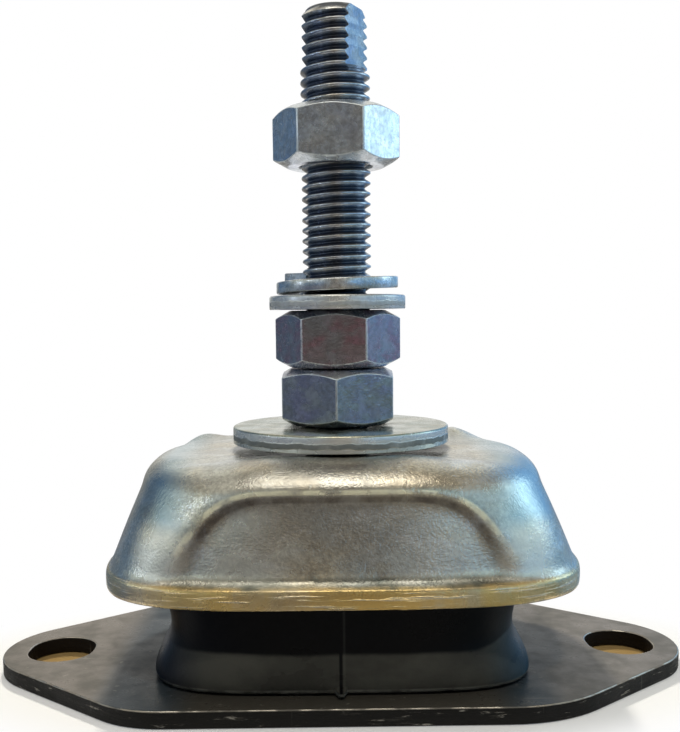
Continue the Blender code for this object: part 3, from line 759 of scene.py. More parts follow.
@dataclass(frozen=True)
class ThreadFinish(ZincFinish):
    """Zinc on the thread, darker in its grooves: partly old oil, partly painted shade."""

    groove: float = 5.4 * MM
    crest: float = 5.9 * MM
    oil_and_shade: tuple[float, float, float] = (0.09, 0.11, 0.15)
    flat_turn: float = 0.0
    flat_reach: float = 4 * MM
    flat_foot: float = 0.1

    def with_grooves(self) -> bpy.types.Material:
        """The finish with the groove darkening, partly oil and partly painted shade, found by its distance from the
        stud's axis.
        """
        made = self.build()
        _, graph, _, sockets = made
        axes = graph.axes(graph.place())
        squares = [graph.maths("MULTIPLY", axes[name], axes[name]) for name in ("X", "Y")]
        distance = graph.maths("SQRT", graph.maths("ADD", *squares))
        facing = graph.axes(graph.add("ShaderNodeTexCoord").outputs["Normal"])
        threaded = graph.remap(graph.maths("ABSOLUTE", facing["Z"]), 0.25, 0.5, 0.0, 1.0)
        # Partly oil, partly painted shade: grooves and flanks turn dark blue.
        deep = graph.maths("MAXIMUM", graph.remap(distance, self.groove, self.crest, 1.0, 0.0), 0.0)
        groove_oil_and_shade = graph.maths("MULTIPLY", deep, graph.maths("ADD", graph.maths("MULTIPLY", threaded, 0.2), 0.72))
        turn = math.radians(self.flat_turn)
        across = [graph.maths("MULTIPLY", axes["X"], math.cos(turn)), graph.maths("MULTIPLY", axes["Y"], math.sin(turn))]
        reach = graph.maths("ABSOLUTE", graph.maths("ADD", *across))
        beyond = graph.remap(reach, self.flat_reach - 0.06 * MM, self.flat_reach - 0.01 * MM, 0.0, 1.0)
        high = graph.remap(axes["Z"], self.flat_foot, self.flat_foot + 1 * MM, 0.0, 1.0)
        milled = graph.maths("MULTIPLY", beyond, high)
        groove_oil_and_shade = graph.maths("MULTIPLY", groove_oil_and_shade, graph.maths("SUBTRACT", 1.0, milled))
        sockets["colour"] = graph.mix(groove_oil_and_shade, sockets["colour"], rgba(self.oil_and_shade))
        return self.finish(made)


@dataclass(frozen=True)
class RubberFinish:
    """Satin moulded rubber, with painted light on its lower part below the edge of the cap's shadow and on its right
    end, and painted blue reflections at its ends.
    """

    name: str = "moulded_rubber"
    colour: tuple[float, float, float] = (0.003, 0.003, 0.004)
    painted_light_colour: tuple[float, float, float] = (0.078, 0.077, 0.067)
    cap_shadow_level: float = 9.6 * MM
    blue_reflection_colour: tuple[float, float, float] = (0.045, 0.11, 0.17)
    left_reflection_colour: tuple[float, float, float] = (0.006, 0.01, 0.025)
    flash_colour: tuple[float, float, float] = (0.2, 0.2, 0.18)
    flash_level: float = 3.4 * MM
    line_x: float = 0.0
    roughness: float = 0.3
    gloss: float = 0.12

    def build(self) -> bpy.types.Material:
        """Make the material."""
        material, graph, shader = new_finish(self.name)
        patches = graph.noise(graph.place((1, 1, 1.6)), 70.0, 6.0)
        axes = graph.axes(graph.place())
        # Painted light: below the edge of the cap's shadow the rubber is lightened, and so is its right end up to just
        # under the cap.
        rise = graph.remap(axes["X"], 20 * MM, 34 * MM, 0.0, 4 * MM)
        level = graph.maths("SUBTRACT", axes["Z"], graph.maths("ADD", rise, graph.maths("MULTIPLY", patches, 1 * MM)))
        below_cap_shadow = graph.remap(level, self.cap_shadow_level - 1.0 * MM, self.cap_shadow_level - 0.2 * MM, 1.0, 0.0)
        painted_light_share = graph.maths("MULTIPLY", below_cap_shadow, graph.remap(patches, 0.3, 0.7, 0.4, 0.9))
        # Painted reflection: a blue tint at the right end and a fainter one at the left end.
        end = graph.remap(axes["X"], 21 * MM, 33 * MM, 0.0, 1.0)
        left_end = graph.remap(axes["X"], -31 * MM, -20 * MM, 1.0, 0.0)
        painted_light_colour = graph.mix(left_end, graph.mix(end, rgba(self.painted_light_colour), rgba(self.blue_reflection_colour)), rgba(self.left_reflection_colour))
        painted_light_share = graph.maths("MAXIMUM", painted_light_share, graph.maths("MULTIPLY", end, graph.remap(axes["Z"], 12 * MM, 19 * MM, 0.7, 0.0)))
        colour = graph.mix(painted_light_share, rgba(self.colour), painted_light_colour)
        colour = graph.mix(graph.band(axes["X"], self.line_x, 0.4 * MM), colour, rgba(self.colour))
        beside = graph.band(axes["X"], self.line_x + 0.55 * MM, 0.28 * MM)
        colour = graph.mix(graph.maths("MULTIPLY", beside, 0.08), colour, rgba(self.flash_colour))
        flash = graph.band(axes["Z"], self.flash_level, 0.4 * MM)
        flash = graph.maths("MULTIPLY", flash, graph.remap(graph.noise(graph.place(), 260.0, 4.0), 0.35, 0.6, 0.2, 0.9))
        colour = graph.mix(flash, colour, rgba(self.flash_colour))
        shader.inputs["Specular IOR Level"].default_value = self.gloss
        grain = graph.group(Effect.GRAIN, Scale=2200.0, Wave=180.0, Share=0.6).outputs[0]
        bump = graph.feed(graph.add("ShaderNodeBump"), Height=grain, Distance=0.1 * MM, Strength=1.0)
        graph.feed(
            shader,
            Base_Color=colour,
            Roughness=graph.remap(patches, 0.35, 0.65, self.roughness - 0.06, self.roughness + 0.14),
            Normal=bump.outputs[0],
        )
        return material


@dataclass(frozen=True)
class FootFinish:
    """Thin dark coating on steel plate, worn along its edges, with a painted shadow of the cap round the rubber and
    painted shade on the walls of its punched slots.
    """

    slot_x: float
    slot_reach: float
    top: float
    name: str = "coated_steel"
    coating: tuple[float, float, float] = (0.18, 0.16, 0.142)
    film: tuple[float, float, float] = (0.07, 0.073, 0.066)
    painted_shadow_colour: tuple[float, float, float] = (0.04, 0.037, 0.03)
    blue_shadow_colour: tuple[float, float, float] = (0.02, 0.04, 0.06)
    shadow_middle: float = -2.5 * MM
    worn: tuple[float, float, float] = (0.5, 0.47, 0.42)
    sheared: tuple[float, float, float] = (0.014, 0.013, 0.012)
    slot_shade_colour: tuple[float, float, float] = (0.014, 0.011, 0.009)
    roughness: float = 0.34
    gloss: float = 0.12

    def build(self) -> bpy.types.Material:
        """Make the material."""
        material, graph, shader = new_finish(self.name)
        axes = graph.axes(graph.place())
        facing = graph.axes(graph.add("ShaderNodeTexCoord").outputs["Normal"])
        sideways = graph.remap(graph.maths("ABSOLUTE", facing["Z"]), 0.3, 0.7, 1.0, 0.0)
        off_slot = graph.maths("SUBTRACT", graph.maths("ABSOLUTE", axes["X"]), self.slot_x)
        distance = graph.maths(
            "SQRT",
            graph.maths("ADD", graph.maths("MULTIPLY", off_slot, off_slot), graph.maths("MULTIPLY", axes["Y"], axes["Y"])),
        )
        in_slot = graph.maths("MULTIPLY", sideways, graph.remap(distance, self.slot_reach, self.slot_reach + 0.3 * MM, 1.0, 0.0))
        blotches = graph.noise(graph.place(), 150.0, 6.0, 0.6)
        streaks = graph.noise(graph.place((0.12, 0.12, 1.0)), 1500.0, 5.0, 0.65)
        flecks = graph.noise(graph.place((0.4, 0.4, 1.0)), 900.0, 3.0)
        torn = graph.maths("MULTIPLY", graph.remap(streaks, 0.57, 0.67, 0.0, 1.0), graph.remap(flecks, 0.5, 0.6, 0.1, 1.0))
        torn = graph.maths("MULTIPLY", torn, sideways)
        rounded = graph.maths(
            "MULTIPLY",
            graph.remap(graph.maths("ABSOLUTE", facing["Z"]), 0.2, 0.5, 0.0, 1.0),
            graph.remap(graph.maths("ABSOLUTE", facing["Z"]), 0.85, 0.98, 1.0, 0.0),
        )
        near_top = graph.remap(axes["Z"], self.top / 2, self.top, 0.0, 1.0)
        ragged = graph.remap(graph.noise(graph.place(), 260.0, 4.0), 0.4, 0.6, 0.25, 1.0)
        worn = graph.maths("MULTIPLY", graph.maths("MULTIPLY", rounded, near_top), ragged)
        colour = graph.mix(graph.remap(blotches, 0.35, 0.7, 0.0, 0.6), rgba(self.coating), rgba(self.film))
        # Painted shadow of the cap round the rubber, bluer towards the ends.
        away = graph.maths("ABSOLUTE", graph.maths("SUBTRACT", axes["X"], self.shadow_middle))
        spread = graph.maths("MAXIMUM", graph.maths("SUBTRACT", away, 27 * MM), 0.0)
        painted_shadow = graph.remap(graph.maths("ADD", spread, graph.maths("MULTIPLY", blotches, 3 * MM)), 7 * MM, 13 * MM, 0.85, 0.0)
        ends = graph.remap(graph.maths("ABSOLUTE", axes["X"]), 22 * MM, 30 * MM, 0.0, 1.0)
        colour = graph.mix(painted_shadow, colour, graph.mix(ends, rgba(self.painted_shadow_colour), rgba(self.blue_shadow_colour)))
        colour = graph.mix(sideways, colour, rgba(self.sheared))
        right = graph.remap(axes["X"], 5 * MM, 30 * MM, 0.55, 1.0)
        colour = graph.mix(graph.maths("MULTIPLY", torn, right), colour, rgba(self.worn))
        colour = graph.mix(worn, colour, rgba(self.worn))
        # Painted shade on the walls of the slots.
        colour = graph.mix(in_slot, colour, rgba(self.slot_shade_colour))
        scuffs = graph.group(Effect.SCRATCHES, Scale=700.0, Amount=0.2).outputs[0]
        colour = graph.mix(scuffs, colour, rgba(self.worn))
        grain = graph.group(Effect.GRAIN, Scale=2800.0, Wave=200.0, Share=0.45).outputs[0]
        height = graph.maths("ADD", grain, graph.maths("MULTIPLY", graph.maths("MULTIPLY", streaks, sideways), 5.0))
        bump = graph.feed(graph.add("ShaderNodeBump"), Height=height, Distance=0.05 * MM, Strength=1.0)
        rough = graph.remap(blotches, 0.35, 0.65, self.roughness - 0.08, self.roughness + 0.1)
        rough = graph.maths("ADD", rough, graph.maths("MULTIPLY", sideways, 0.2))
        metal = graph.remap(worn, 0.3, 0.8, 0.0, 1.0)
        shader.inputs["Specular IOR Level"].default_value = self.gloss
        graph.feed(shader, Base_Color=colour, Roughness=rough, Metallic=metal, Normal=bump.outputs[0])
        return material


# The pieces


@dataclass
class Foot:
    """The steel foot plate with its two bolt slots."""

    node: str = "base_plate"
    edge_round: float = 0.35 * MM
    slot_from_tip: float = 10 * MM
    slot_reach: float = 6.9 * MM

    def build(self) -> None:
        """Round the sheared edges of a copy of the plate and dress it."""
        low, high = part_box(self.node)
        piece = copy_node(self.node, "foot_plate")
        edit(piece)
        bpy.ops.mesh.select_all(action="SELECT")
        bpy.ops.mesh.dissolve_limited(angle_limit=math.radians(0.5))
        deselect()
        apply_modifier(
            piece, "BEVEL", width=self.edge_round, segments=3, limit_method="ANGLE", angle_limit=math.radians(40)
        )
        keep_flats_flat(piece, 50)
        finish = FootFinish(slot_x=high.x - self.slot_from_tip, slot_reach=self.slot_reach, top=high.z)
        settle(piece, self.node, Body.BASE, finish.build())


@dataclass
class RubberSpring:
    """The moulded rubber between foot and cap, with its parting line."""

    node: str = "rubber_body"
    line_x: float = -0.45 * MM
    line_half: float = 0.35 * MM
    line_rise: float = 0.12 * MM
    nub_top: float = 1.8 * MM  # above the foot
    nub_half: float = 1.0 * MM
    nub_rise: float = 1.8 * MM

    def build(self) -> None:
        """Cut the parting line into a copy of the rubber, raise it, and dress the piece."""
        low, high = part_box(self.node)
        piece = copy_node(self.node, "rubber_spring")
        edit(piece)
        bpy.ops.mesh.select_all(action="SELECT")
        bpy.ops.mesh.tris_convert_to_quads()
        deselect()
        subdivide(piece, 1)
        for off in (-self.nub_half, -self.line_half, 0.0, self.line_half, self.nub_half):
            edit(piece)
            bpy.ops.mesh.select_all(action="SELECT")
            bpy.ops.mesh.bisect(plane_co=(self.line_x + off, 0, 0), plane_no=(1, 0, 0))
        for rise in (self.nub_top / 2, self.nub_top):
            edit(piece)
            bpy.ops.mesh.select_all(action="SELECT")
            bpy.ops.mesh.bisect(plane_co=(0, 0, low.z + rise), plane_no=(0, 0, 1))
        for side in (-1, 1):
            edit(piece)
            pick_points(piece, lambda p: abs(p.x - self.line_x) < 0.05 * MM and p.y * side > 20 * MM)
            bpy.ops.transform.translate(value=(0, side * self.line_rise, 0))
        foot = low.z + self.nub_top * 0.6
        pick_points(piece, lambda p: abs(p.x - self.line_x) < self.nub_half * 0.9 and p.y < -20 * MM and p.z < foot)
        bpy.ops.transform.translate(value=(0, -self.nub_rise, 0))
        smooth(piece, 40)
        piece.data.materials.clear()
        finish = RubberFinish(line_x=self.line_x, flash_level=max(low.z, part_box("base_plate")[1].z) + 0.5 * MM)
        piece.data.materials.append(finish.build())
        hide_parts(self.node)
        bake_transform(piece)
        log.info("%s: %d faces", piece.name, len(piece.data.polygons))


@dataclass
class PressedCap:
    """The drawn sheet cap."""

    node: str = "cap"

    def build(self) -> None:
        """Smooth a copy of the pressing and dress it."""
        piece = copy_node(self.node, "pressed_cap")
        edit(piece)
        bpy.ops.mesh.select_all(action="SELECT")
        bpy.ops.mesh.tris_convert_to_quads()
        deselect()
        subdivide(piece, 2)
        smooth(piece, 50)
        finish = CapFinish(
            name="cap_zinc_plate",
            base=(0.72, 0.69, 0.6),
            first_tint=(0.58, 0.62, 0.62),
            second_tint=(0.7, 0.6, 0.43),
            patch_scale=45.0,
            roughness=0.24,
            bump_depth=0.12 * MM,
            wave_share=0.4,
            mottle_amount=0.38,
            metal=1.0,
        )
        settle(piece, self.node, Body.SPRUNG_TOP, finish.with_rim())


@dataclass
class Boss:
    """The turned boss that is hidden in the rubber and keeps its CAD solid."""

    node: str = "threaded_boss"

    def dress(self) -> None:
        """Give the CAD solid a plain steel finish."""
        finish = ZincFinish("turned_steel", (0.45, 0.45, 0.45), (0.38, 0.39, 0.4), (0.5, 0.46, 0.42))
        frame["nodes"][self.node].data.materials.clear()
        frame["nodes"][self.node].data.materials.append(finish.plain())


@dataclass
class Stud:
    """The threaded stud with two wrench flats at its top."""

    node: str = "stud"
    crest: float = 5.9 * MM
    root: float = 4.93 * MM
    phase: float = 0.19 * MM  # height of a crest straight to the right, above a whole number of pitches
    steps: int = 56
    chamfer: float = 1.6 * MM
    end_radius: float = 4.6 * MM
    flat_height: float = 10 * MM
    flat_across: float = 8 * MM
    flat_turn: float = -27.0
    run_out: float = 3 * MM  # radius that the milling cutter leaves at the foot of a flat

    def profile(self) -> list[tuple[float, float]]:
        """One pitch of the rolled thread, from root to root, with its crest in the middle."""
        half = PITCH / 2
        up = [
            (self.root, 0.0),
            (self.root + 0.04 * MM, 0.12 * MM),
            (self.root + 0.16 * MM, 0.22 * MM),
            (self.crest - 0.17 * MM, half - 0.27 * MM),
            (self.crest - 0.05 * MM, half - 0.18 * MM),
            (self.crest, half - 0.09 * MM),
        ]
        return up + [(radius, PITCH - height) for radius, height in up[::-1]]

    def envelope(self, length: float) -> list[tuple[float, float]]:
        """The turned blank with chamfered ends and a slightly crowned top."""
        outer = self.crest + 0.05 * MM
        return [
            (0.0, 0.0),
            (self.end_radius, 0.0),
            (outer, self.chamfer),
            (outer, length - self.chamfer),
            (self.end_radius + 0.15 * MM, length - 0.12 * MM),
            (self.end_radius - 0.1 * MM, length),
            (0.0, length),
        ]

    def build(self) -> None:
        """Wind the thread, trim it to the blank, mill the flats and dress the piece."""
        low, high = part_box(self.node)
        length = high.z - low.z
        turns = math.ceil(length / PITCH) + 3
        first_crest = self.phase + PITCH * math.floor((low.z - self.phase) / PITCH - 1)
        piece = outline("threaded_stud", self.profile(), closed=False)
        apply_modifier(
            piece,
            "SCREW",
            angle=TURN,
            screw_offset=PITCH,
            iterations=turns,
            steps=self.steps,
            render_steps=self.steps,
            use_merge_vertices=False,
        )
        edit(piece)
        bpy.ops.mesh.select_all(action="SELECT")
        bpy.ops.mesh.remove_doubles(threshold=0.002 * MM)
        bpy.ops.mesh.select_all(action="DESELECT")
        bpy.ops.mesh.select_non_manifold()
        bpy.ops.mesh.edge_face_add()
        bpy.ops.object.mode_set(mode="OBJECT")
        edit(piece, "FACE")
        pick_faces(piece, lambda face: len(face.vertices) > 4)
        bpy.ops.mesh.poke()
        tidy_mesh(piece)
        move_whole(piece, Vector((0, 0, first_crest - PITCH / 2)))
        blank = turned("stud_blank", self.envelope(length), 96)
        move_whole(blank, Vector((0, 0, low.z)))
        combine(piece, blank, "INTERSECT")
        for side in (0.0, 180.0):
            combine(piece, self.milled_flat(high.z, side), "DIFFERENCE")
        tidy_mesh(piece)
        smooth(piece, 32)
        finish = ThreadFinish(
            name="stud_zinc_plate",
            base=(0.52, 0.53, 0.55),
            first_tint=(0.3, 0.36, 0.5),
            second_tint=(0.5, 0.45, 0.38),
            patch_scale=150.0,
            roughness=0.18,
            wear_amount=0.3,
            groove=self.crest - 0.75 * MM,
            crest=self.crest - 0.17 * MM,
            flat_turn=self.flat_turn,
            flat_reach=self.flat_across / 2,
            flat_foot=high.z - self.flat_height - self.run_out / 2,
        )
        settle(piece, self.node, Body.SPRUNG_TOP, finish.with_grooves())

    def milled_flat(self, top: float, side: float) -> bpy.types.Object:
        """The block that mills one flat, with the rounded foot that a disc cutter leaves."""
        deselect()
        reach = self.crest * 2
        size = (reach, reach * 2, self.flat_height * 2)
        place = ((self.flat_across + reach) / 2, 0, top)
        bpy.ops.mesh.primitive_cube_add(size=1, location=place, scale=size)
        block = bpy.context.object
        bpy.ops.object.transform_apply(location=True, rotation=True, scale=True)
        edit(block, "EDGE")
        inner, foot = self.flat_across / 2 + 0.1 * MM, top - self.flat_height + 0.1 * MM
        pick_points(block, lambda p: p.x < inner and p.z < foot)
        bpy.ops.mesh.bevel(offset=self.run_out, segments=10, affect="EDGES")
        deselect()
        move_whole(block, Vector((0, 0, 0)), self.flat_turn + side)
        return block


@dataclass
class HexNut:
    """A hexagon nut with chamfered corners."""

    node: str
    name: str
    body: Body
    turn: float
    finish: NutFinish
    across_flats: float = 18.9 * MM
    face: float = 16.7 * MM
    bore: float = 12.0 * MM
    bore_mouth: float = 12.8 * MM
    corner_round: float = 0.993
    chamfer_angle: float = 30.0
    edge_round: float = 0.14 * MM

    def envelope(self, height: float) -> list[tuple[float, float]]:
        """The turned form that trims the hexagon and opens the bore."""
        corner = self.across_flats / math.sqrt(3) * self.corner_round
        slope = (corner - self.face / 2) * math.tan(math.radians(self.chamfer_angle))
        mouth, bore, face = self.bore_mouth / 2, self.bore / 2, self.face / 2
        step = mouth - bore
        lift = 0.08 * MM
        return [
            (mouth, 0.0),
            (bore, step),
            (bore, height - step),
            (mouth, height),
            (face - 0.3 * MM, height),
            (face, height - lift),
            (corner, height - slope),
            (corner, slope),
            (face, lift),
            (face - 0.3 * MM, 0.0),
        ]

    def build(self) -> None:
        """Cut the hexagon, trim it and dress the piece."""
        low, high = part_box(self.node)
        height = high.z - low.z
        deselect()
        bpy.ops.mesh.primitive_cylinder_add(
            vertices=6, radius=self.across_flats / math.sqrt(3), depth=height, location=(0, 0, height / 2)
        )
        piece = bpy.context.object
        piece.name = self.name
        edit(piece, "EDGE")
        bpy.ops.object.mode_set(mode="OBJECT")
        points = piece.data.vertices
        for side in piece.data.edges:
            first, last = (points[i].co for i in side.vertices)
            side.select = abs(first.z - last.z) > height / 2
        bpy.ops.object.mode_set(mode="EDIT")
        bpy.ops.mesh.bevel(offset=self.edge_round, segments=3, affect="EDGES")
        move_whole(piece, Vector((0, 0, 0)), 30)
        combine(piece, turned(f"{self.name}_form", self.envelope(height), 144), "INTERSECT")
        tidy_mesh(piece)
        move_whole(piece, Vector((0, 0, low.z)), self.turn)
        apply_modifier(
            piece, "BEVEL", width=0.15 * MM, segments=2, limit_method="ANGLE", angle_limit=math.radians(20)
        )
        keep_flats_flat(piece, 45)
        settle(piece, self.node, self.body, self.finish.with_edges())


@dataclass
class FlatWasher:
    """A blanked flat washer, rolled over at its top edge and burred at its bottom one."""

    node: str
    name: str
    body: Body
    bore: float
    finish: ShearedEdgeFinish
    shift: float = 0.0
    roll: float = 0.45 * MM
    burr: float = 0.15 * MM
    steps: int = 128

    def build(self) -> None:
        """Turn the washer and dress it."""
        low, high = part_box(self.node)
        thickness = high.z - low.z
        radius = (high.y - low.y) / 2
        inner = self.bore / 2
        profile = [(inner + self.burr, 0.0), (inner, self.burr)]
        profile += arc((inner + self.roll, thickness - self.roll), self.roll, 180, 90, 4)
        profile += arc((radius - self.roll, thickness - self.roll), self.roll, 90, 0, 5)
        profile += arc((radius - self.burr, self.burr), self.burr, 0, -90, 2)
        piece = turned(self.name, profile, self.steps)
        move_whole(piece, Vector((self.shift, 0, low.z)))
        smooth(piece, 40)
        settle(piece, self.node, self.body, self.finish.on_edge())


@dataclass
class SpringWasher:
    """The split spring washer, one climbing turn of square bar."""

    finish: ZincFinish
    node: str = "spring_washer"
    inner: float = 12.4 * MM
    bar: float = 2.0 * MM
    rise: float = 1.9 * MM
    split: float = 8.0
    split_turn: float = 155.0
    edge: float = 0.3 * MM
    steps: int = 120

    def build(self) -> None:
        """Wind the bar, close its ends and dress the piece."""
        low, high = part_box(self.node)
        inner, outer = self.inner / 2, (high.x - low.x) / 2
        corners = [(inner, 0, 180), (outer, 0, 270), (outer, self.bar, 0), (inner, self.bar, 90)]
        profile = []
        for radius, height, start in corners:
            inwards = self.edge if radius == inner else -self.edge
            upwards = self.edge if height == 0 else -self.edge
            profile += arc((radius + inwards, height + upwards), self.edge, start, start + 90, 3)
        piece = outline("split_washer", profile, closed=True)
        sweep = 360 - self.split
        apply_modifier(
            piece,
            "SCREW",
            angle=math.radians(sweep),
            screw_offset=self.rise,
            steps=self.steps,
            render_steps=self.steps,
            use_merge_vertices=False,
        )
        edit(piece)
        bpy.ops.mesh.select_non_manifold()
        bpy.ops.mesh.fill_holes(sides=0)
        tidy_mesh(piece)
        move_whole(piece, Vector((0, 0, low.z)), self.split_turn + self.split / 2)
        smooth(piece, 40)
        settle(piece, self.node, Body.WASHERS, self.finish.plain())


@dataclass
class Studio:
    """A pale floor, a white surround, soft lamps and the camera."""

    camera_place: tuple[float, float, float] = (-0.003316, -0.178068, 0.062083)
    camera_turn: tuple[float, float, float] = (83.5293, 0.6608, -0.3222)
    lens: float = 54.0334
    shift: tuple[float, float] = (0.023459, 0.094118)
    floor_size: float = 6.0
    floor_white: float = 0.86
    floor_glow: float = 1.0
    near_share: float = 0.25
    mat_level: float = 1 * MM
    fill: float = 0.18
    right_window: tuple[float, float, float] = (1.35, 1.3, 1.08)
    left_window: tuple[float, float, float] = (1.45, 1.35, 1.1)
    slot_x: float = 50 * MM
    table: tuple[float, float, float] = (0.3, 0.2, 0.08)

    def build(self) -> None:
        """Set the floor, surround, lamps and camera."""
        self.floor()
        self.surround()
        warm, cool, blue = (1.0, 0.95, 0.84), (0.72, 0.94, 1.0), (0.7, 0.82, 1.0)
        self.lamp("rear_spot", (-0.1, 0.5, 0.6), 0.07, 0.85, warm, mirrored=False)
        self.lamp("front_spot", (0.04, -0.36, 0.56), 0.05, 0.25, warm, mirrored=False)
        self.lamp("ceiling_panel", (-0.02, -0.08, 0.6), 0.28, 0.22, warm)
        self.lamp("right_window", (0.32, 0.09, 0.19), 0.17, 0.09, cool)
        self.lamp("left_spot_high", (-0.3, -0.2, 0.2), 0.035, 0.02, blue)
        self.lamp("left_spot_low", (-0.32, -0.08, 0.11), 0.03, 0.02, blue)
        self.mat()
        self.camera()
        bpy.context.scene.view_settings.view_transform = "Standard"

    def camera(self) -> None:
        """Set the camera at the photograph's place."""
        data = bpy.data.cameras.new("camera")
        data.sensor_fit = "HORIZONTAL"
        data.sensor_width = 36
        data.lens = self.lens
        data.shift_x, data.shift_y = self.shift
        data.clip_start = 0.005
        camera = bpy.data.objects.new("camera", data)
        camera.location = self.camera_place
        camera.rotation_euler = [math.radians(angle) for angle in self.camera_turn]
        bpy.context.scene.collection.objects.link(camera)
        bpy.context.scene.camera = camera

    def lamp(
        self, name: str, place: tuple, size: float, brightness: float, colour: tuple, tall: float = 1.0,
        mirrored: bool = True,
    ) -> None:
        """Hang a lamp that looks at the mount.

        Args:
            name: the lamp's name.
            place: where it hangs.
            size: its width.
            brightness: how bright it makes a white card at the mount that faces it.
            colour: its colour.
            tall: its height against its width.
            mirrored: whether polished faces show it.
        """
        data = bpy.data.lights.new(name, "AREA")
        data.shape = "RECTANGLE"
        data.size, data.size_y = size, size * tall
        data.energy = brightness * (math.pi * Vector(place).length) ** 2
        data.color = colour
        lamp = bpy.data.objects.new(name, data)
        lamp.location = place
        aim = Vector((0, 0, 0.05)) - Vector(place)
        lamp.rotation_euler = aim.to_track_quat("-Z", "Y").to_euler()
        lamp.visible_camera = False
        lamp.visible_glossy = mirrored
        bpy.context.scene.collection.objects.link(lamp)

    def mat(self) -> None:
        """Lay mats round the mount that only polished faces see, dark in front and coloured at the sides."""
        far, beside, before = 3.0, 64 * MM, 32 * MM
        deselect()
        for low, high in (((-far, -far), (far, -before)), ((-far, -before), (-beside, far)), ((beside, -before), (far, far))):
            middle = ((low[0] + high[0]) / 2, (low[1] + high[1]) / 2, self.mat_level)
            bpy.ops.mesh.primitive_plane_add(size=1, location=middle)
            sheet = bpy.context.object
            sheet.scale = (high[0] - low[0], high[1] - low[1], 1)
            bpy.ops.object.transform_apply(location=True, scale=True)
            sheet.name = f"mat_{len(bpy.data.objects)}"
            sheet.data.materials.append(self.mat_material())
            for sight in ("camera", "diffuse", "shadow", "transmission"):
                setattr(sheet, f"visible_{sight}", False)

    def distance(self, graph: Graph, place: bpy.types.NodeSocket) -> bpy.types.NodeSocket:
        """How far a place lies from the middle, seen from above."""
        axes = graph.axes(place)
        squares = [graph.maths("MULTIPLY", axes[name], axes[name]) for name in ("X", "Y")]
        return graph.maths("SQRT", graph.maths("ADD", *squares))

    def windows(self, graph: Graph, colour: bpy.types.NodeSocket, way: bpy.types.NodeSocket) -> bpy.types.NodeSocket:
        """Add the two high, warm windows behind the mount that light the shoulders of the cap."""
        axes = graph.axes(way)
        aside = graph.maths("DIVIDE", axes["X"], self.distance(graph, way))
        shown = graph.maths("MULTIPLY", graph.remap(axes["Y"], 0.2, 0.35, 0.0, 1.0), graph.band(axes["Z"], 0.7, 0.2))
        right = graph.maths("MULTIPLY", graph.band(aside, 0.33, 0.13), shown)
        left = graph.maths("MULTIPLY", graph.band(aside, -0.4, 0.16), shown)
        return graph.mix(left, graph.mix(right, colour, rgba(self.right_window)), rgba(self.left_window))

    def mat_material(self) -> bpy.types.Material:
        """A glow whose colour follows the direction from the mount."""
        material, graph, shader = new_finish("mat")
        place = graph.place()
        aside = graph.maths("DIVIDE", graph.axes(place)["X"], self.distance(graph, place))
        ahead = graph.maths("DIVIDE", graph.axes(place)["Y"], self.distance(graph, place))
        back = graph.remap(ahead, -0.3, 0.2, 0.0, 1.0)
        blotches = graph.remap(graph.noise(graph.place(), 9.0, 3.0), 0.35, 0.65, 0.0, 1.0)
        front = graph.mix(blotches, rgba((0.1, 0.085, 0.078)), rgba((0.3, 0.28, 0.24)))
        left = graph.mix(back, rgba((0.075, 0.09, 0.15)), rgba((0.11, 0.15, 0.2)))
        right = graph.mix(back, rgba((0.14, 0.17, 0.16)), rgba((0.22, 0.32, 0.44)))
        colour = graph.mix(graph.remap(aside, -0.75, -0.3, 1.0, 0.0), front, left)
        colour = graph.mix(graph.remap(aside, 0.3, 0.75, 0.0, 1.0), colour, right)
        shader.inputs["Base Color"].default_value = rgba((0.0, 0.0, 0.0))
        shader.inputs["Emission Strength"].default_value = 1.0
        graph.feed(shader, Emission_Color=colour)
        return material

    def floor(self) -> None:
        """Lay the pale floor, which is white to the camera apart from the object's shadow close by."""
        deselect()
        bpy.ops.mesh.primitive_plane_add(size=self.floor_size, location=(0, 0, -0.05 * MM))
        floor = bpy.context.object
        floor.name = "floor"
        material, graph, shader = new_finish("pale_floor")
        shader.inputs["Roughness"].default_value = 0.9
        glow = graph.add("ShaderNodeEmission")
        share = graph.add("ShaderNodeMixShader")
        path = graph.add("ShaderNodeLightPath")
        seen = graph.maths("MAXIMUM", path.outputs["Is Camera Ray"], path.outputs["Is Glossy Ray"])
        seen = graph.maths("MAXIMUM", seen, path.outputs["Is Transmission Ray"])
        distance = self.distance(graph, graph.place((1.0, 1.8, 0.0)))
        below = graph.axes(graph.place())
        aside = graph.maths("SUBTRACT", graph.maths("ABSOLUTE", below["X"]), self.slot_x)
        squares = [graph.maths("MULTIPLY", part, part) for part in (aside, below["Y"])]
        off_slot = graph.maths("SQRT", graph.maths("ADD", *squares))
        under = graph.remap(off_slot, 7.4 * MM, 8 * MM, 1.0, 0.0)
        graph.feed(shader, Base_Color=graph.mix(under, rgba((self.floor_white,) * 3), rgba(self.table)))
        glow_share = graph.remap(distance, 60 * MM, 80 * MM, self.near_share, self.floor_glow)
        glow_share = graph.maths("MULTIPLY", glow_share, graph.maths("SUBTRACT", 1.0, under))
        seen = graph.maths("MULTIPLY", seen, glow_share)
        tree = material.node_tree
        tree.links.new(seen, share.inputs[0])
        tree.links.new(shader.outputs[0], share.inputs[1])
        tree.links.new(glow.outputs[0], share.inputs[2])
        tree.links.new(share.outputs[0], tree.nodes["Material Output"].inputs[0])
        floor.data.materials.append(material)

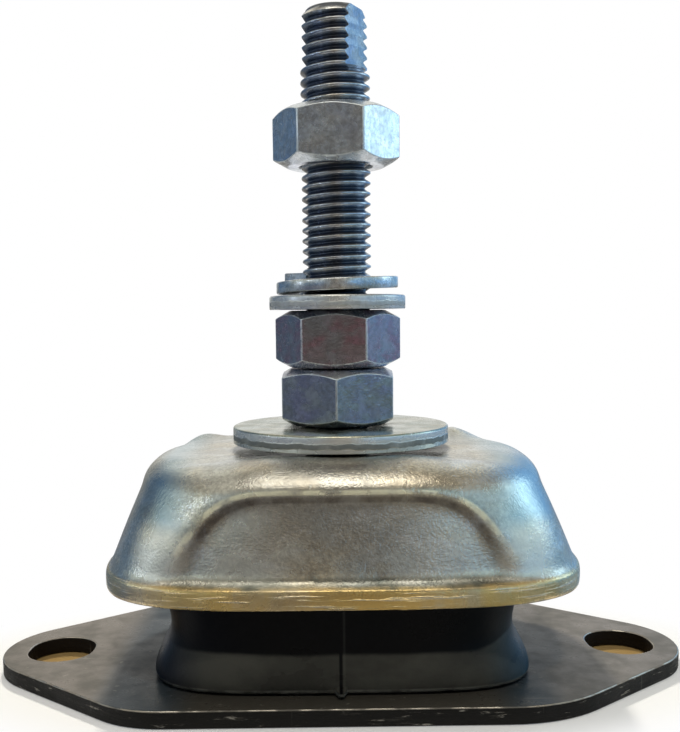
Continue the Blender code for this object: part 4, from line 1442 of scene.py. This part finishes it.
    def surround(self) -> None:
        """A white world to the camera, and to metal a bright back and sides with a dimmer, warmer front."""
        world = bpy.data.worlds.new("surround")
        bpy.context.scene.world = world
        world.use_nodes = True
        graph = Graph(world.node_tree)
        way = graph.add("ShaderNodeTexCoord").outputs["Generated"]
        axes = graph.axes(way)
        clutter = graph.remap(graph.noise(way, 2.6, 3.0), 0.38, 0.62, 0.0, 1.0)
        front = graph.mix(clutter, rgba((0.1, 0.085, 0.075)), rgba((0.4, 0.36, 0.3)))
        behind = graph.remap(axes["Y"], -0.1, 0.45, 0.0, 1.0)
        colour = graph.mix(behind, front, rgba((0.95, 0.95, 0.92)))
        raised = graph.maths(
            "MULTIPLY", graph.remap(axes["Z"], 0.12, 0.24, 0.0, 1.0), graph.remap(axes["Y"], 0.1, 0.45, 1.0, 0.0)
        )
        left = graph.remap(axes["X"], -0.55, -0.1, 1.0, 0.0)
        farther = graph.remap(axes["Y"], 0.75, 0.9, 0.0, 1.0)
        low_left = graph.mix(farther, rgba((0.11, 0.18, 0.28)), rgba((0.34, 0.37, 0.36)))
        left_side = graph.mix(raised, low_left, rgba((0.6, 0.68, 0.66)))
        colour = graph.mix(left, colour, left_side)
        right = graph.remap(axes["X"], 0.1, 0.55, 0.0, 1.0)
        right_side = graph.mix(raised, rgba((0.27, 0.54, 0.9)), rgba((0.54, 0.78, 0.9)))
        colour = graph.mix(right, colour, right_side)
        above = graph.remap(axes["Z"], 0.55, 0.85, 0.0, 1.0)
        colour = graph.mix(above, colour, rgba((0.44, 0.41, 0.34)))
        colour = self.windows(graph, colour, way)
        light = world.node_tree.nodes["Background"]
        path = graph.add("ShaderNodeLightPath")
        seen = graph.maths("MAXIMUM", path.outputs["Is Glossy Ray"], path.outputs["Is Transmission Ray"])
        strength = graph.maths("ADD", graph.maths("MULTIPLY", seen, 1 - self.fill), self.fill)
        graph.feed(light, Color=colour, Strength=strength)
        white = graph.add("ShaderNodeBackground")
        share = graph.add("ShaderNodeMixShader")
        links = world.node_tree.links
        links.new(path.outputs["Is Camera Ray"], share.inputs[0])
        links.new(light.outputs[0], share.inputs[1])
        links.new(white.outputs[0], share.inputs[2])
        white.inputs["Color"].default_value = rgba((1.0, 1.0, 1.0))
        links.new(share.outputs[0], world.node_tree.nodes["World Output"].inputs[0])


def nut_finish(name: str, base: tuple, first: tuple, second: tuple, turn: float = 0.0) -> NutFinish:
    """The nuts' common finish in one nut's tints."""
    return NutFinish(
        name,
        base,
        first,
        second,
        patch_scale=110.0,
        roughness=0.24,
        tint_amount=0.65,
        wave_share=0.3,
        bump_depth=0.035 * MM,
        wear_amount=0.0,
        mottle_scale=1200.0,
        mottle_amount=0.42,
        turn=turn,
    )


def washer_finish(
    node: str, name: str, base: tuple, first: tuple, second: tuple, torn_amount: float, rubbed_and_sheen: float
) -> ShearedEdgeFinish:
    """The washers' common finish, with the torn band at one washer's level."""
    low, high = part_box(node)
    return ShearedEdgeFinish(
        name, base, first, second, patch_scale=80.0, roughness=0.24, low=low.z, thickness=high.z - low.z,
        torn_amount=torn_amount, rubbed_and_sheen=rubbed_and_sheen,
    )


def main() -> None:
    """Build and dress the pieces in order, from the foot up."""
    logging.basicConfig(level=logging.INFO, format="%(message)s")
    make_tarnish()
    make_scratches()
    make_grain()
    make_edge_wear()
    Foot().build()
    RubberSpring().build()
    PressedCap().build()
    Boss().dress()
    Stud().build()
    grey = (0.6, 0.61, 0.6)
    blue = (0.42, 0.5, 0.62)
    FlatWasher(
        "large_washer",
        "wide_washer",
        Body.SPRUNG_TOP,
        13.2 * MM,
        washer_finish(
            "large_washer", "wide_washer_zinc", (0.42, 0.43, 0.36), (0.36, 0.43, 0.4), (0.46, 0.43, 0.32), 0.85, 0.75
        ),
        shift=0.35 * MM,
    ).build()
    HexNut(
        "lock_nut", "hex_nut_lower", Body.SPRUNG_TOP, 27.5,
        nut_finish("lower_nut_zinc", (0.42, 0.44, 0.47), (0.38, 0.35, 0.5), (0.44, 0.46, 0.4), 27.5),
    ).build()
    HexNut(
        "adjusting_nut", "hex_nut_middle", Body.ADJUSTING_NUT, -4.8,
        nut_finish("middle_nut_zinc", (0.44, 0.36, 0.4), (0.34, 0.4, 0.43), (0.44, 0.2, 0.26), -4.8),
    ).build()
    FlatWasher(
        "plain_washer", "seat_washer", Body.WASHERS, 12.4 * MM,
        washer_finish("plain_washer", "seat_washer_zinc", grey, blue, (0.64, 0.63, 0.6), 0.25, 0.3),
    ).build()
    SpringWasher(nut_finish("spring_washer_zinc", (0.8, 0.82, 0.84), (0.34, 0.44, 0.58), (0.7, 0.66, 0.56))).build()
    HexNut(
        "clamp_nut", "hex_nut_upper", Body.CLAMP_NUT, -6.4,
        nut_finish("upper_nut_zinc", (0.68, 0.72, 0.76), (0.5, 0.55, 0.68), (0.68, 0.66, 0.64), -6.4),
    ).build()
    Studio().build()


if __name__ == "__main__":
    main()
